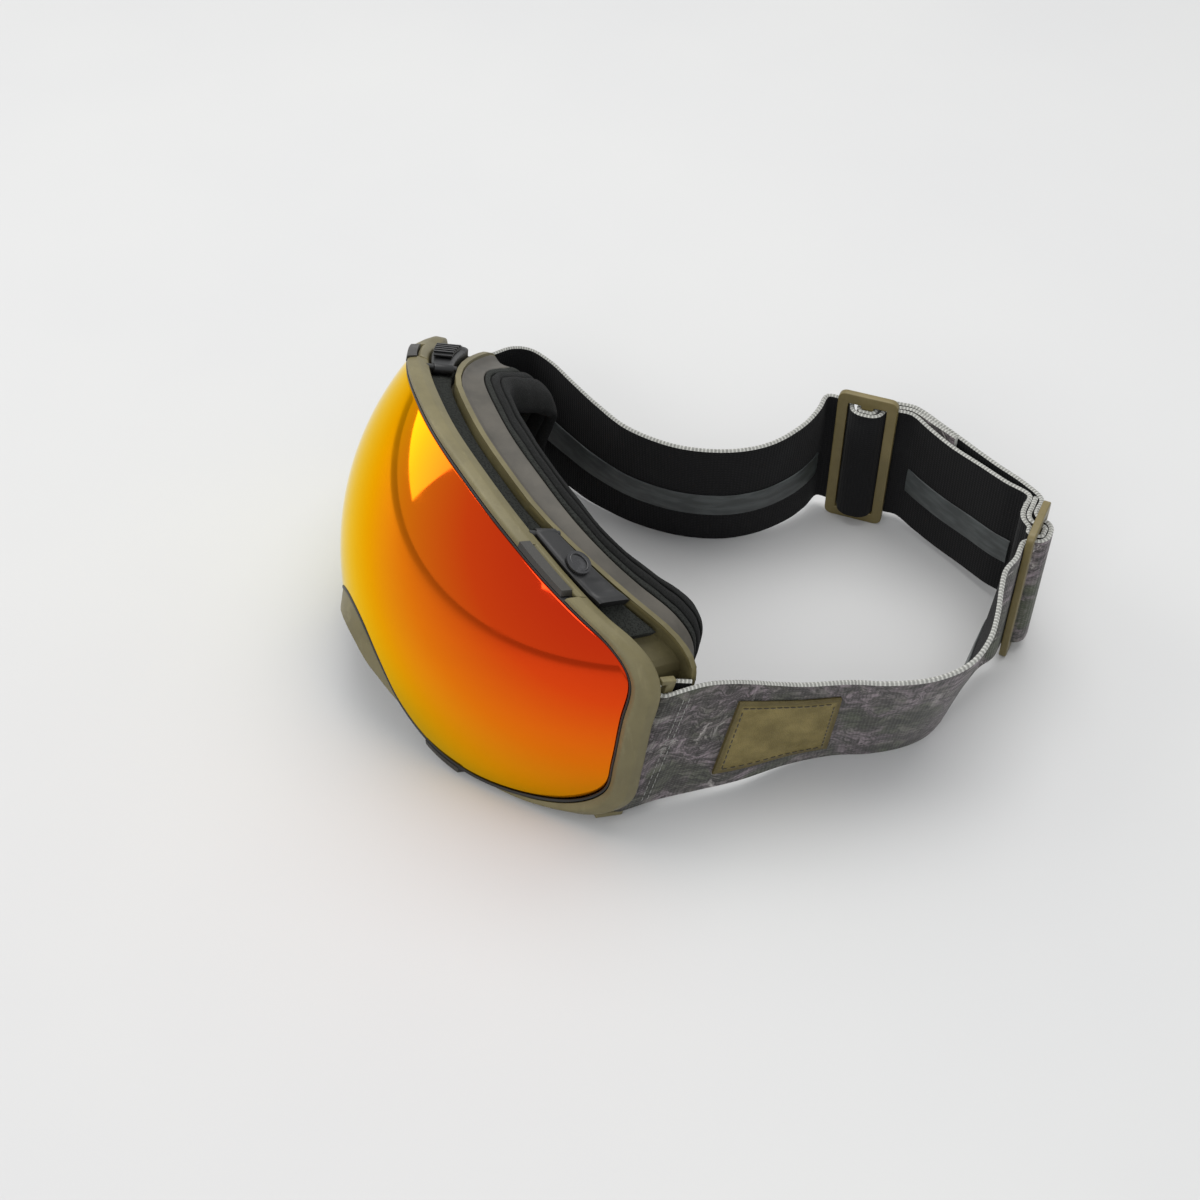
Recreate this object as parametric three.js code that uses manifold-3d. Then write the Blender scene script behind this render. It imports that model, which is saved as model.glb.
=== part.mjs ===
import * as THREE from 'three';
import { mergeVertices } from 'three/addons/utils/BufferGeometryUtils.js';
import Module from 'manifold-3d';

const wasm = await Module();
wasm.setup();

// Ski goggles standing on a table, strap loop behind them. Millimetres, +Z up.
// +X is the wearer's left, the lens looks along -Y.

// ---- lens and its outline -------------------------------------------------
const LENS_RADIUS = 97.6;          // spherical lens, outside radius
const LENS_HALF_WIDTH = 85.5;
const LENS_TOP = 48.5;             // above the lens centre
const LENS_BOTTOM = 43;            // lobes, below the lens centre
const OUTER_LENS_T = 1.5;
const INNER_LENS_T = 0.8;
const SPACER_T = 1.0;
const SPACER_WIDTH = 4.5;
const CARRIER_WALL = 0.9;
const CARRIER_FLOOR = 1.1;
const CARRIER_SHELF = 6;

// ---- frame ----------------------------------------------------------------
const LEAN = THREE.MathUtils.degToRad(17.4);
const LEDGE_T = 1.1;               // floor of the rim behind the lens
const RIM_WALL = 1.8;
const RIM_TUCK = 1.2;              // how far the rim tucks in at its back
const RIM_FLARE = 3.2;             // how far the rim spreads at the temples
const LEDGE_REACH = 8;             // inward reach of the lens seat
const VENT_DEPTH = 7.9;
const VENT_WALL = 1.8;
const RIDGE_T = 2;
const RIDGE_OUT = 0.8;
const FLANGE_DEPTH = 8.6;
const FOAM_BASE_T = 2;
const FOAM_MID_T = 3.2;
const FOAM_FACE_T = 3.6;
const FOAM_OUT = 1.6;
const FOAM_WIDTH = 12;
const NOSE_LIP = 5.4;              // extra width of the rim over the nose
const NOSE_PROUD = 1.5;
const TEMPLE_TAPER = 0.3;          // inward draw per mm of depth, at the temples
const FACE_TAPER = 0.8;            // more of it behind the ridge
const TEMPLE_DEEPEN = 6.5;         // extra depth of the vents at the temples
const FLANGE_SHARE = 0.2;          // how much of that the flange keeps
const CHEEK_TAPER = 0.36;          // the same along the underside
const BROW_TAPER = 0.12;
const VENT_WINDOW = 9;
const VENT_RIB = 3;
const CLEAR = 0.3;                 // gap between neighbouring pieces

// ---- lock levers ----------------------------------------------------------
const LEVER_OUTER_X = 65;
const LEVER_PIVOT_X = 42;
const LEVER_T = 3.4;
const LEVER_LOW = -0.5;            // its underside, out from the outline
const LEVER_GAP = 0.6;             // clear of the rim behind it
const LEVER_DEPTH = 6.4;
const LEVER_PIN_R = 0.9;
const PAD_LENGTH = 15;
const BADGE_X = 53.5;
const BADGE_R = 3.9;

// ---- lens tabs ------------------------------------------------------------
const TAB_DEPTH = 3.3;
const TOP_TAB_X = 47;
const TOP_TAB_LENGTH = 15.5;
const LOW_TAB_X = 37.5;
const LOW_TAB_LENGTH = 11.5;

// ---- strap hardware -------------------------------------------------------
const STRAP_WIDTH = 48;
const STRAP_T = 1.6;
const SLIDER_BAR = 3;
const SLIDER_SLOT = 6;
const SLIDER_T = 2.4;
const SLIDER_RAIL = 3.6;
const ANCHOR_INSET = 2.5;          // strap bar, inboard of the lens edge
const ANCHOR_T = 2.4;
const ANCHOR_RAIL = 1.8;
const ANCHOR_SLOT = 3.2;
const LOOP_RUN = 12;               // from a strap bar to the end of its sewn loop
const GRIP_START = 22;             // along the strap from there
const GRIP_HEIGHT = 10;
const GRIP_T = 0.7;
const GRIP_RISE = 14;              // above the strap's lower edge
const PATCH_LENGTH = 35;
const PATCH_HEIGHT = 31;
const PATCH_T = 1.2;
const PATCH_RISE = 8;
const PATCH_START = 25;            // along the strap from its anchor bar
const STRAP_FOOT = SLIDER_RAIL + CLEAR;

// ---- stations along the depth, all measured back from the lens surface -----
const SPACER_AT = OUTER_LENS_T + 2 * CLEAR;
const INNER_AT = SPACER_AT + SPACER_T + CLEAR;
const SHELF_AT = INNER_AT + INNER_LENS_T + 3 * CLEAR;
const CARRIER_BACK = SHELF_AT + CARRIER_FLOOR;
const LEDGE_AT = CARRIER_BACK + CLEAR;
const RIM_BACK = LEDGE_AT + LEDGE_T;
const VENT_AT = RIM_BACK + CLEAR;
const VENT_FOAM_AT = RIM_BACK + 3 * CLEAR;
const RIDGE_AT = VENT_AT + VENT_DEPTH;
const RIDGE_BACK = RIDGE_AT + RIDGE_T;
const FLANGE_AT = RIDGE_BACK + CLEAR;
const FLANGE_BACK = FLANGE_AT + FLANGE_DEPTH;
const FOAM1_AT = FLANGE_BACK + CLEAR;
const FOAM2_AT = FOAM1_AT + FOAM_BASE_T + CLEAR;
const FOAM3_AT = FOAM2_AT + FOAM_MID_T + CLEAR;
const FOAM_END = FOAM3_AT + FOAM_FACE_T;
const CARRIER_OUT = CLEAR + CARRIER_WALL;
const RIM_IN = CARRIER_OUT + CLEAR;
const RIM_OUT = RIM_IN + RIM_WALL;

// ---- helpers --------------------------------------------------------------
function toSolid(geometry) {
  const bare = geometry.clone();
  for (const name of Object.keys(bare.attributes)) {
    if (name !== 'position') bare.deleteAttribute(name);
  }
  const merged = mergeVertices(bare, 1e-4);
  const index = merged.index.array;
  const tri = [];
  for (let i = 0; i < index.length; i += 3) {
    const [a, b, c] = [index[i], index[i + 1], index[i + 2]];
    if (a !== b && b !== c && c !== a) tri.push(a, b, c);
  }
  const pos = merged.attributes.position.array;
  const make = (t) => new wasm.Manifold(new wasm.Mesh({
    numProp: 3,
    vertProperties: new Float32Array(pos),
    triVerts: new Uint32Array(t),
  }));
  let solid = make(tri);
  if (solid.volume() < 0) {
    for (let i = 0; i < tri.length; i += 3) [tri[i], tri[i + 1]] = [tri[i + 1], tri[i]];
    solid = make(tri);
  }
  return solid;
}

function toGeometry(solid) {
  const mesh = solid.getMesh();
  const g = new THREE.BufferGeometry();
  g.setAttribute('position', new THREE.BufferAttribute(new Float32Array(mesh.vertProperties), 3));
  g.setIndex(new THREE.BufferAttribute(new Uint32Array(mesh.triVerts), 1));
  g.computeVertexNormals();
  return g;
}

function finish(color, roughness, metalness = 0, extra = {}) {
  return new THREE.MeshStandardMaterial({ color, roughness, metalness, ...extra });
}

const TAN = finish(0x8b8469, 0.55);
const TAUPE = finish(0x696662, 0.7);
const BLACK = finish(0x1c1c1c, 0.5);
const DARK_GREY = finish(0x4a4a4c, 0.45);
const FOAM = finish(0x262826, 0.95);
const SPONGE = finish(0x1f1f20, 0.98);
const MIRROR = finish(0xf07a1c, 0.08, 0.85);
const CLEAR_LENS = finish(0xc9ced0, 0.05, 0, { transparent: true, opacity: 0.35 });
const STEEL = finish(0x9a9a9c, 0.35, 0.9);
const CAMO = finish(0x6d6d68, 0.85);
const SILICONE = finish(0x2d3030, 0.35);
const LEATHER = finish(0x7d6e3c, 0.7);

function mesh(name, solid, material, parent) {
  const m = new THREE.Mesh(toGeometry(solid), material);
  m.name = name;
  parent.add(m);
  return m;
}

function box(x0, x1, y0, y1, z0, z1) {
  const g = new THREE.BoxGeometry(x1 - x0, y1 - y0, z1 - z0);
  g.translate((x0 + x1) / 2, (y0 + y1) / 2, (z0 + z1) / 2);
  return toSolid(g);
}

function rod(radius, from, to, sides = 24) {
  const along = new THREE.Vector3().subVectors(to, from);
  const g = new THREE.CylinderGeometry(radius, radius, along.length(), sides);
  const turn = new THREE.Quaternion()
    .setFromUnitVectors(new THREE.Vector3(0, 1, 0), along.clone().normalize());
  g.applyQuaternion(turn);
  const mid = new THREE.Vector3().addVectors(from, to).multiplyScalar(0.5);
  g.translate(mid.x, mid.y, mid.z);
  return toSolid(g);
}

const smooth = (a, b, v) => THREE.MathUtils.smoothstep(v, a, b);

// ---- the goggle's outline, seen from the front ------------------------------
// Shape factors: share of the half width, share of the height above or below.
const OUTLINE = [
  [0, 1], [0.257, 0.975], [0.526, 0.874], [0.76, 0.715], [0.889, 0.588],
  [0.959, 0.433], [0.988, 0.165], [1, -0.186], [0.982, -0.512], [0.901, -0.756],
  [0.76, -0.919], [0.608, -1], [0.468, -0.97], [0.339, -0.8], [0.222, -0.565],
  [0.105, -0.42], [0, -0.385],
];

function outlineCurve() {
  const right = OUTLINE.map(([fx, fz]) => new THREE.Vector3(
    fx * LENS_HALF_WIDTH, 0, fz > 0 ? fz * LENS_TOP : fz * LENS_BOTTOM));
  const left = right.slice(1, -1).reverse().map((p) => new THREE.Vector3(-p.x, 0, p.z));
  return new THREE.CatmullRomCurve3([...right, ...left], true, 'centripetal');
}
const RIM_LINE = outlineCurve();

function lensY(x, z) {
  return -Math.sqrt(Math.max(LENS_RADIUS ** 2 - x * x - z * z, 1));
}

// The curve starts at the top and runs clockwise, so this normal points out.
function lineAt(s) {
  const t = ((s % 1) + 1) % 1;
  const p = RIM_LINE.getPoint(t);
  const e = 1e-3;
  const ahead = RIM_LINE.getPoint((t + e) % 1).sub(RIM_LINE.getPoint((t - e + 1) % 1));
  return { p, n: new THREE.Vector3(-ahead.z, 0, ahead.x).normalize() };
}

// The station where the upper edge of the outline is at x.
function upperStation(x) {
  const steps = 2000;
  let best = 0;
  let miss = Infinity;
  for (let i = 0; i < steps; i += 1) {
    const { p } = lineAt(i / steps);
    if (p.z > 0 && Math.abs(p.x - x) < miss) {
      miss = Math.abs(p.x - x);
      best = i / steps;
    }
  }
  return best;
}

function templeShare(p) {
  return smooth(0.8 * LENS_HALF_WIDTH, 0.97 * LENS_HALF_WIDTH, Math.abs(p.x));
}

function noseShare(p) {
  const reach = 1 - smooth(0.15 * LENS_HALF_WIDTH, 0.42 * LENS_HALF_WIDTH, Math.abs(p.x));
  return p.z < 0 ? reach : 0;
}

// The vents are deeper at the temples, and the flange behind them shallower.
function deepen(p, depth) {
  const side = smooth(0.3 * LENS_HALF_WIDTH, 0.9 * LENS_HALF_WIDTH, Math.abs(p.x));
  const vents = THREE.MathUtils.clamp((depth - RIM_BACK) / (RIDGE_AT - RIM_BACK), 0, 1);
  const flange = THREE.MathUtils.clamp((depth - RIDGE_BACK) / (FLANGE_BACK - RIDGE_BACK), 0, 1);
  return side * TEMPLE_DEEPEN * (vents - (1 - FLANGE_SHARE) * flange);
}

// Behind the rim the outline draws in: sideways at the temples, upwards at the
// cheeks and a little downwards at the brow.
function draw(p, depth) {
  const back = Math.max(0, depth - RIM_BACK);
  const side = smooth(0.35 * LENS_HALF_WIDTH, LENS_HALF_WIDTH, Math.abs(p.x));
  const cheek = smooth(0.2 * LENS_BOTTOM, 0.85 * LENS_BOTTOM, -p.z);
  const brow = smooth(0.4 * LENS_TOP, 0.9 * LENS_TOP, p.z);
  const inward = TEMPLE_TAPER * back + FACE_TAPER * Math.max(0, depth - RIDGE_BACK);
  return new THREE.Vector3(
    -Math.sign(p.x) * side * inward, 0,
    (cheek * CHEEK_TAPER - brow * BROW_TAPER) * back);
}

// A point of a ring: distance out from the outline, depth behind the lens,
// and whether its depth follows the lens surface inwards.
function ringPoint(s, out, depth, follow) {
  const { p, n } = lineAt(s);
  const inset = follow ? Math.min(out, 0) : 0;
  const y = lensY(p.x + inset * n.x, p.z + inset * n.z) + depth + deepen(p, depth);
  return new THREE.Vector3(p.x + out * n.x, y, p.z + out * n.z).add(draw(p, depth));
}

// A closed ring around the outline. profile(p) gives [out, depth, follow] rows.
function ring(profile, segments = 96) {
  const rows = profile(lineAt(0).p).length;
  const flat = [];
  for (let j = 0; j <= rows; j += 1) {
    const a = (j % rows) / rows * Math.PI * 2;
    flat.push(new THREE.Vector2(100 + 5 * Math.cos(a), 5 * Math.sin(a)));
  }
  const g = new THREE.LatheGeometry(flat, segments);
  const pos = g.attributes.position;
  for (let i = 0; i <= segments; i += 1) {
    const s = (i % segments) / segments;
    const section = profile(lineAt(s).p);
    for (let j = 0; j <= rows; j += 1) {
      const [out, depth, follow] = section[j % rows];
      const v = ringPoint(s, out, depth, follow);
      pos.setXYZ(i * (rows + 1) + j, v.x, v.y, v.z);
    }
  }
  return toSolid(g);
}

// A full lens: rings of the outline shrunk towards its centre, on both faces.
function lensDisc(depth, thickness, steps, segments = 96) {
  const flat = [];
  for (const r of steps) flat.push([r, depth]);
  for (const r of [...steps].reverse()) flat.push([r, depth + thickness]);
  const g = new THREE.LatheGeometry(flat.map(([r, d]) => new THREE.Vector2(r, d)), segments);
  const pos = g.attributes.position;
  for (let i = 0; i <= segments; i += 1) {
    const { p } = lineAt((i % segments) / segments);
    flat.forEach(([r, d], j) => {
      pos.setXYZ(i * flat.length + j, p.x * r, lensY(p.x * r, p.z * r) + d, p.z * r);
    });
  }
  return toSolid(g);
}

const FAR = 300;
const upperSlab = (x0, x1) => box(x0, x1, -FAR, FAR, 0, FAR);
const lowerSlab = (x0, x1) => box(x0, x1, -FAR, FAR, -FAR, 0);

// ---- lens assembly ----------------------------------------------------------
function makeLens(parent) {
  const lens = new THREE.Group();
  parent.add(lens);
  mesh('outer_lens', lensDisc(0, OUTER_LENS_T, [0, 0.3, 0.57, 0.8, 0.93, 1]), MIRROR, lens);
  mesh('lens_spacer', ring(() => [
    [-CLEAR, SPACER_AT, true],
    [-CLEAR, SPACER_AT + SPACER_T, true],
    [-SPACER_WIDTH, SPACER_AT + SPACER_T, true],
    [-SPACER_WIDTH, SPACER_AT, true],
  ]), SPONGE, lens);
  mesh('inner_lens', lensDisc(INNER_AT, INNER_LENS_T, [0, 0.36, 0.68, 0.91, 0.998]), CLEAR_LENS, lens);
  mesh('lens_carrier', ring(() => [
    [CLEAR, -0.2, false],
    [CARRIER_OUT, -0.2, false],
    [CARRIER_OUT, CARRIER_BACK, false],
    [0, CARRIER_BACK, false],
    [-CARRIER_SHELF, CARRIER_BACK, true],
    [-CARRIER_SHELF, SHELF_AT, true],
    [0, SHELF_AT, false],
    [CLEAR, SHELF_AT, false],
  ]), BLACK, lens);
  const tabRing = ring(() => [
    [RIM_IN, -0.3, false],
    [RIM_OUT + 0.2, 0, false],
    [RIM_OUT + 0.3, TAB_DEPTH, false],
    [RIM_IN, TAB_DEPTH, false],
  ], 192);
  const top = (x) => tabRing.intersect(upperSlab(x, x + TOP_TAB_LENGTH));
  const low = (x) => tabRing.intersect(lowerSlab(x, x + LOW_TAB_LENGTH));
  mesh('lens_tab_top_left', top(TOP_TAB_X), DARK_GREY, lens);
  mesh('lens_tab_top_right', top(-TOP_TAB_X - TOP_TAB_LENGTH), DARK_GREY, lens);
  mesh('lens_tab_low_left', low(LOW_TAB_X), DARK_GREY, lens);
  mesh('lens_tab_low_right', low(-LOW_TAB_X - LOW_TAB_LENGTH), DARK_GREY, lens);
}

// ---- rigid frame --------------------------------------------------------------
function leverPin(side, radius, from, to) {
  const s = upperStation(side * LEVER_PIVOT_X);
  const front = ringPoint(s, LEVER_LOW + LEVER_T / 2, RIM_BACK, false);
  const back = ringPoint(s, LEVER_LOW + LEVER_T / 2, RIDGE_AT, false);
  const at = (depth) => front.clone().lerp(back, (depth - RIM_BACK) / (RIDGE_AT - RIM_BACK));
  return rod(radius, at(from), at(to));
}

// Where the strap bars stand, in the leaned frame and along the table.
const BAR_FRONT = lensY(LENS_HALF_WIDTH, 0) + RIM_BACK + ANCHOR_SLOT;
const BAR_Y = BAR_FRONT + SLIDER_BAR / 2;
const STRAP_MID = STRAP_FOOT + STRAP_WIDTH / 2;
const ANCHOR_X = LENS_HALF_WIDTH - ANCHOR_INSET;

function restingHeight(solid) {
  const g = toGeometry(solid).rotateX(-LEAN);
  g.computeBoundingBox();
  return -g.boundingBox.min.z;
}

// A moulded bar behind each temple, held by an arm above and below the strap.
function barSpan(headZ) {
  const middle = (STRAP_MID - headZ + BAR_Y * Math.sin(LEAN)) / Math.cos(LEAN);
  return { middle, half: STRAP_WIDTH / 2 / Math.cos(LEAN) + 5 * CLEAR };
}

// The scoop behind the rim that lets the strap turn round the bar.
function strapScoop(side, headZ) {
  const { middle, half } = barSpan(headZ);
  const [near, far] = [ANCHOR_X - 3 * STRAP_T, ANCHOR_X + 5 * STRAP_T];
  return box(...(side > 0 ? [near, far] : [-far, -near]),
    BAR_FRONT - ANCHOR_SLOT + CLEAR, BAR_FRONT + SLIDER_BAR, middle - half, middle + half);
}

function strapBar(side, headZ) {
  const { middle, half } = barSpan(headZ);
  const across = (a, b) => (side > 0 ? [a, b] : [-b, -a]);
  const back = BAR_FRONT + SLIDER_BAR;
  const inside = RIM_BACK - LEDGE_T / 2;
  const bar = across(ANCHOR_X - ANCHOR_T / 2, ANCHOR_X + ANCHOR_T / 2);
  const arm = across(0.89 * LENS_HALF_WIDTH, ANCHOR_X + ANCHOR_T / 2);
  const topAt = lensY(0.985 * LENS_HALF_WIDTH, middle + half) + inside;
  const lowAt = lensY(0.9 * LENS_HALF_WIDTH, middle - half) + inside;
  return box(...bar, BAR_FRONT, back, middle - half - ANCHOR_RAIL, middle + half + ANCHOR_RAIL)
    .add(box(...bar, topAt, back, middle + half, middle + half + ANCHOR_RAIL))
    .add(box(...arm, lowAt, back, middle - half - ANCHOR_RAIL, middle - half));
}

function makeFrontFrame(parent) {
  let frame = ring((p) => {
    const w = templeShare(p);
    const lip = noseShare(p) * NOSE_LIP;
    const proud = noseShare(p) * NOSE_PROUD;
    return [
      [RIM_IN, 0, false],
      [RIM_OUT - 0.4 + w + lip, -proud, false],
      [RIM_OUT + w * 1.4 + lip, 0.8 - proud, false],
      [RIM_OUT + 0.2 + w * (RIM_FLARE - 0.4) + lip * 0.9, RIM_BACK / 2, false],
      [RIM_OUT - RIM_TUCK + w * (RIM_FLARE + RIM_TUCK / 2) + lip * 0.6, RIM_BACK, false],
      [-LEDGE_REACH, RIM_BACK, false],
      [-LEDGE_REACH, LEDGE_AT, true],
      [0, LEDGE_AT, false],
      [RIM_IN, LEDGE_AT, false],
    ];
  });
  const notch = ring(() => [
    [RIM_IN - 2, -3, false],
    [RIM_OUT + RIM_FLARE + 3, -3, false],
    [RIM_OUT + RIM_FLARE + 3, TAB_DEPTH + CLEAR, false],
    [RIM_IN - 2, TAB_DEPTH + CLEAR, false],
  ], 192);
  for (const side of [1, -1]) {
    const t0 = side > 0 ? TOP_TAB_X : -TOP_TAB_X - TOP_TAB_LENGTH;
    const l0 = side > 0 ? LOW_TAB_X : -LOW_TAB_X - LOW_TAB_LENGTH;
    frame = frame.subtract(notch.intersect(upperSlab(t0 - CLEAR, t0 + TOP_TAB_LENGTH + CLEAR)));
    frame = frame.subtract(notch.intersect(lowerSlab(l0 - CLEAR, l0 + LOW_TAB_LENGTH + CLEAR)));
    frame = frame.subtract(leverPin(side, LEVER_PIN_R + CLEAR, RIM_BACK - 1.1, RIM_BACK + 2));
  }
  const headZ = restingHeight(frame);
  for (const side of [1, -1]) {
    frame = frame.subtract(strapScoop(side, headZ)).add(strapBar(side, headZ));
  }
  mesh('front_frame', frame, TAN, parent);
  return headZ;
}

function makeRearFrame(parent) {
  const wallOut = -LEDGE_REACH + VENT_WALL;
  let frame = ring(() => [
    [-LEDGE_REACH, VENT_AT, false],
    [wallOut, VENT_AT, false],
    [wallOut, RIDGE_AT, false],
    [RIDGE_OUT, RIDGE_AT, false],
    [RIDGE_OUT, RIDGE_BACK, false],
    [-LEDGE_REACH, RIDGE_BACK, false],
  ]);
  const band = ring(() => [
    [-LEDGE_REACH - 3, VENT_AT + 1.2, false],
    [wallOut + 3, VENT_AT + 1.2, false],
    [wallOut + 3, RIDGE_AT - 1.2, false],
    [-LEDGE_REACH - 3, RIDGE_AT - 1.2, false],
  ]);
  const pitch = VENT_WINDOW + VENT_RIB;
  const count = Math.floor((0.78 * LENS_HALF_WIDTH * 2) / pitch);
  for (let i = 0; i < count; i += 1) {
    const x = (i - (count - 1) / 2) * pitch;
    const window = upperSlab(x - VENT_WINDOW / 2, x + VENT_WINDOW / 2);
    frame = frame.subtract(band.intersect(window));
  }
  for (const x of [-0.7, -0.55, 0.55, 0.7]) {
    const centre = x * LENS_HALF_WIDTH;
    frame = frame.subtract(band.intersect(
      lowerSlab(centre - VENT_WINDOW / 2, centre + VENT_WINDOW / 2)));
  }
  mesh('rear_frame', frame, TAN, parent);
}

function makeVentFoam(parent) {
  const low = -LEDGE_REACH + VENT_WALL + 2 * CLEAR;
  const strip = ring(() => [
    [low, VENT_FOAM_AT, false],
    [LEVER_LOW - 0.4, VENT_FOAM_AT, false],
    [LEVER_LOW - 0.4, RIDGE_AT - 3 * CLEAR, false],
    [low, RIDGE_AT - 3 * CLEAR, false],
  ]);
  const half = 0.88 * LENS_HALF_WIDTH;
  mesh('vent_foam_top', strip.intersect(upperSlab(-half, half)), FOAM, parent);
  mesh('vent_foam_bottom', strip.intersect(lowerSlab(-half, half)), FOAM, parent);
}

// ---- face side ------------------------------------------------------------------
function makeFaceSide(parent) {
  const inner = FOAM_OUT - FOAM_WIDTH;
  mesh('face_flange', ring(() => [
    [-LEDGE_REACH + 2, FLANGE_AT + FLANGE_DEPTH / 2, false],
    [inner, FLANGE_BACK, false],
    [FOAM_OUT, FLANGE_BACK, false],
    [RIDGE_OUT - 1.2, FLANGE_AT + 1.2, false],
    [RIDGE_OUT, FLANGE_AT, false],
    [-LEDGE_REACH, FLANGE_AT, false],
  ]), TAUPE, parent);
  mesh('foam_base', ring(() => [
    [inner, FOAM1_AT, false],
    [FOAM_OUT, FOAM1_AT, false],
    [FOAM_OUT, FOAM1_AT + FOAM_BASE_T, false],
    [inner, FOAM1_AT + FOAM_BASE_T, false],
  ]), FOAM, parent);
  mesh('foam_core', ring(() => [
    [inner, FOAM2_AT + FOAM_MID_T, false],
    [FOAM_OUT, FOAM2_AT + FOAM_MID_T, false],
    [FOAM_OUT, FOAM2_AT, false],
    [inner, FOAM2_AT, false],
  ]), SPONGE, parent);
  mesh('foam_face', ring(() => [
    [inner, FOAM3_AT, false],
    [FOAM_OUT, FOAM3_AT, false],
    [FOAM_OUT - 0.6, FOAM3_AT + 0.55 * FOAM_FACE_T, false],
    [FOAM_OUT - 2.6, FOAM_END, false],
    [inner + 2.6, FOAM_END, false],
    [inner + 0.6, FOAM3_AT + 0.55 * FOAM_FACE_T, false],
  ]), FOAM, parent);
}

// ---- lock levers --------------------------------------------------------------------
function makeLevers(parent) {
  const plate = ring(() => [
    [LEVER_LOW, RIM_BACK + LEVER_GAP, false],
    [LEVER_LOW + LEVER_T - 0.5, RIM_BACK + LEVER_GAP, false],
    [LEVER_LOW + LEVER_T, RIM_BACK + 1.2, false],
    [LEVER_LOW + LEVER_T, RIM_BACK + LEVER_DEPTH, false],
    [LEVER_LOW + LEVER_T - 0.5, RIM_BACK + LEVER_GAP + LEVER_DEPTH, false],
    [LEVER_LOW, RIM_BACK + LEVER_GAP + LEVER_DEPTH, false],
  ], 192);
  for (const [side, hand] of [[1, 'left'], [-1, 'right']]) {
    const a = side * LEVER_PIVOT_X;
    const b = side * LEVER_OUTER_X;
    let lever = plate.intersect(upperSlab(Math.min(a, b), Math.max(a, b)));
    lever = lever.add(leverPin(side, LEVER_T / 2, RIM_BACK + LEVER_GAP + 1, RIM_BACK + LEVER_DEPTH));
    lever = lever.subtract(leverPin(side, LEVER_PIN_R + CLEAR, RIM_BACK - 4, RIDGE_BACK + 4));
    const top = LEVER_LOW + LEVER_T + CLEAR;
    const middle = RIM_BACK + LEVER_GAP + LEVER_DEPTH / 2;
    mesh(`lock_lever_${hand}`, lever, BLACK, parent);
    mesh(`lever_pin_${hand}`, leverPin(side, LEVER_PIN_R, RIM_BACK - 0.8, RIDGE_AT - CLEAR), STEEL, parent);
    if (side > 0) {
      const cap = ring(() => [
        [top, RIM_BACK + LEVER_GAP, false],
        [top + 0.7, RIM_BACK + LEVER_GAP, false],
        [top + 0.7, RIM_BACK + LEVER_GAP + LEVER_DEPTH, false],
        [top, RIM_BACK + LEVER_GAP + LEVER_DEPTH, false],
      ], 192);
      const s = upperStation(BADGE_X);
      const { n } = lineAt(s);
      const c = ringPoint(s, top, middle, false);
      const oval = rod(BADGE_R, c.clone().addScaledVector(n, -6), c.clone().addScaledVector(n, 6), 28);
      mesh('lever_badge_left', cap.intersect(oval), DARK_GREY, parent);
    } else {
      const rib = (k) => ring(() => [
        [top, RIM_BACK + 1.1, false],
        [top + (k ? 1.1 : 0.5), RIM_BACK + 1.1, false],
        [top + (k ? 1.1 : 0.5), RIM_BACK + LEVER_DEPTH - 0.2, false],
        [top, RIM_BACK + LEVER_DEPTH - 0.2, false],
      ], 192);
      let pad = rib(0).intersect(upperSlab(-LEVER_OUTER_X + 2, -LEVER_OUTER_X + 2 + PAD_LENGTH));
      const tall = rib(1);
      for (let i = 0; i < 5; i += 1) {
        const x = -LEVER_OUTER_X + 3.2 + i * 2.5;
        pad = pad.add(tall.intersect(upperSlab(x, x + 1.2)));
      }
      mesh('lever_pad_right', pad, BLACK, parent);
    }
  }
}

// ---- strap routes, seen from above ------------------------------------------------
const turned = (angle) => [Math.cos(angle), Math.sin(angle)];

// Slider-local route points: u along the plate, n out of its bulging side.
function sliderFrame(x, y, degrees, bulge) {
  const [ux, uy] = turned(THREE.MathUtils.degToRad(degrees));
  const [nx, ny] = [uy * bulge, -ux * bulge];
  return {
    x, y, angle: THREE.MathUtils.degToRad(degrees),
    at: (u, n) => [x + u * ux + n * nx, y + u * uy + n * ny],
  };
}
const NEAR_SLIDER = sliderFrame(70, 109, 130, 1);
const FAR_SLIDER = sliderFrame(-5, 91, 45, 1);

const OVER = SLIDER_T / 2 + CLEAR + STRAP_T / 2;     // one layer off a bar
const LAYER = STRAP_T + 0.35;                        // next layer
const BAR_PITCH = SLIDER_BAR + SLIDER_SLOT;

// through the first slot, over the middle bar and back through the second
function weave(f) {
  const top = OVER + LAYER;
  const half = SLIDER_BAR / 2;
  const edge = BAR_PITCH - half;
  return [
    [-BAR_PITCH - 6, -OVER - 0.3], [-BAR_PITCH - 1, -OVER - 0.1], [-edge - 0.1, -OVER],
    [-edge + 1.3, -OVER + 1.0], [-edge + 2.1, 0.6], [-edge + 2.9, 0.6 * top],
    [-half - 1.1, top - 0.3], [0, top], [half + 1.1, top - 0.3],
    [edge - 2.9, 0.6 * top], [edge - 2.1, 0.6], [edge - 1.3, -OVER + 1.0],
    [edge + 0.1, -OVER], [BAR_PITCH + 1.5, -OVER - 0.1], [BAR_PITCH + 6, -OVER - 0.3],
  ].map(([u, n]) => f.at(u, n));
}

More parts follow.
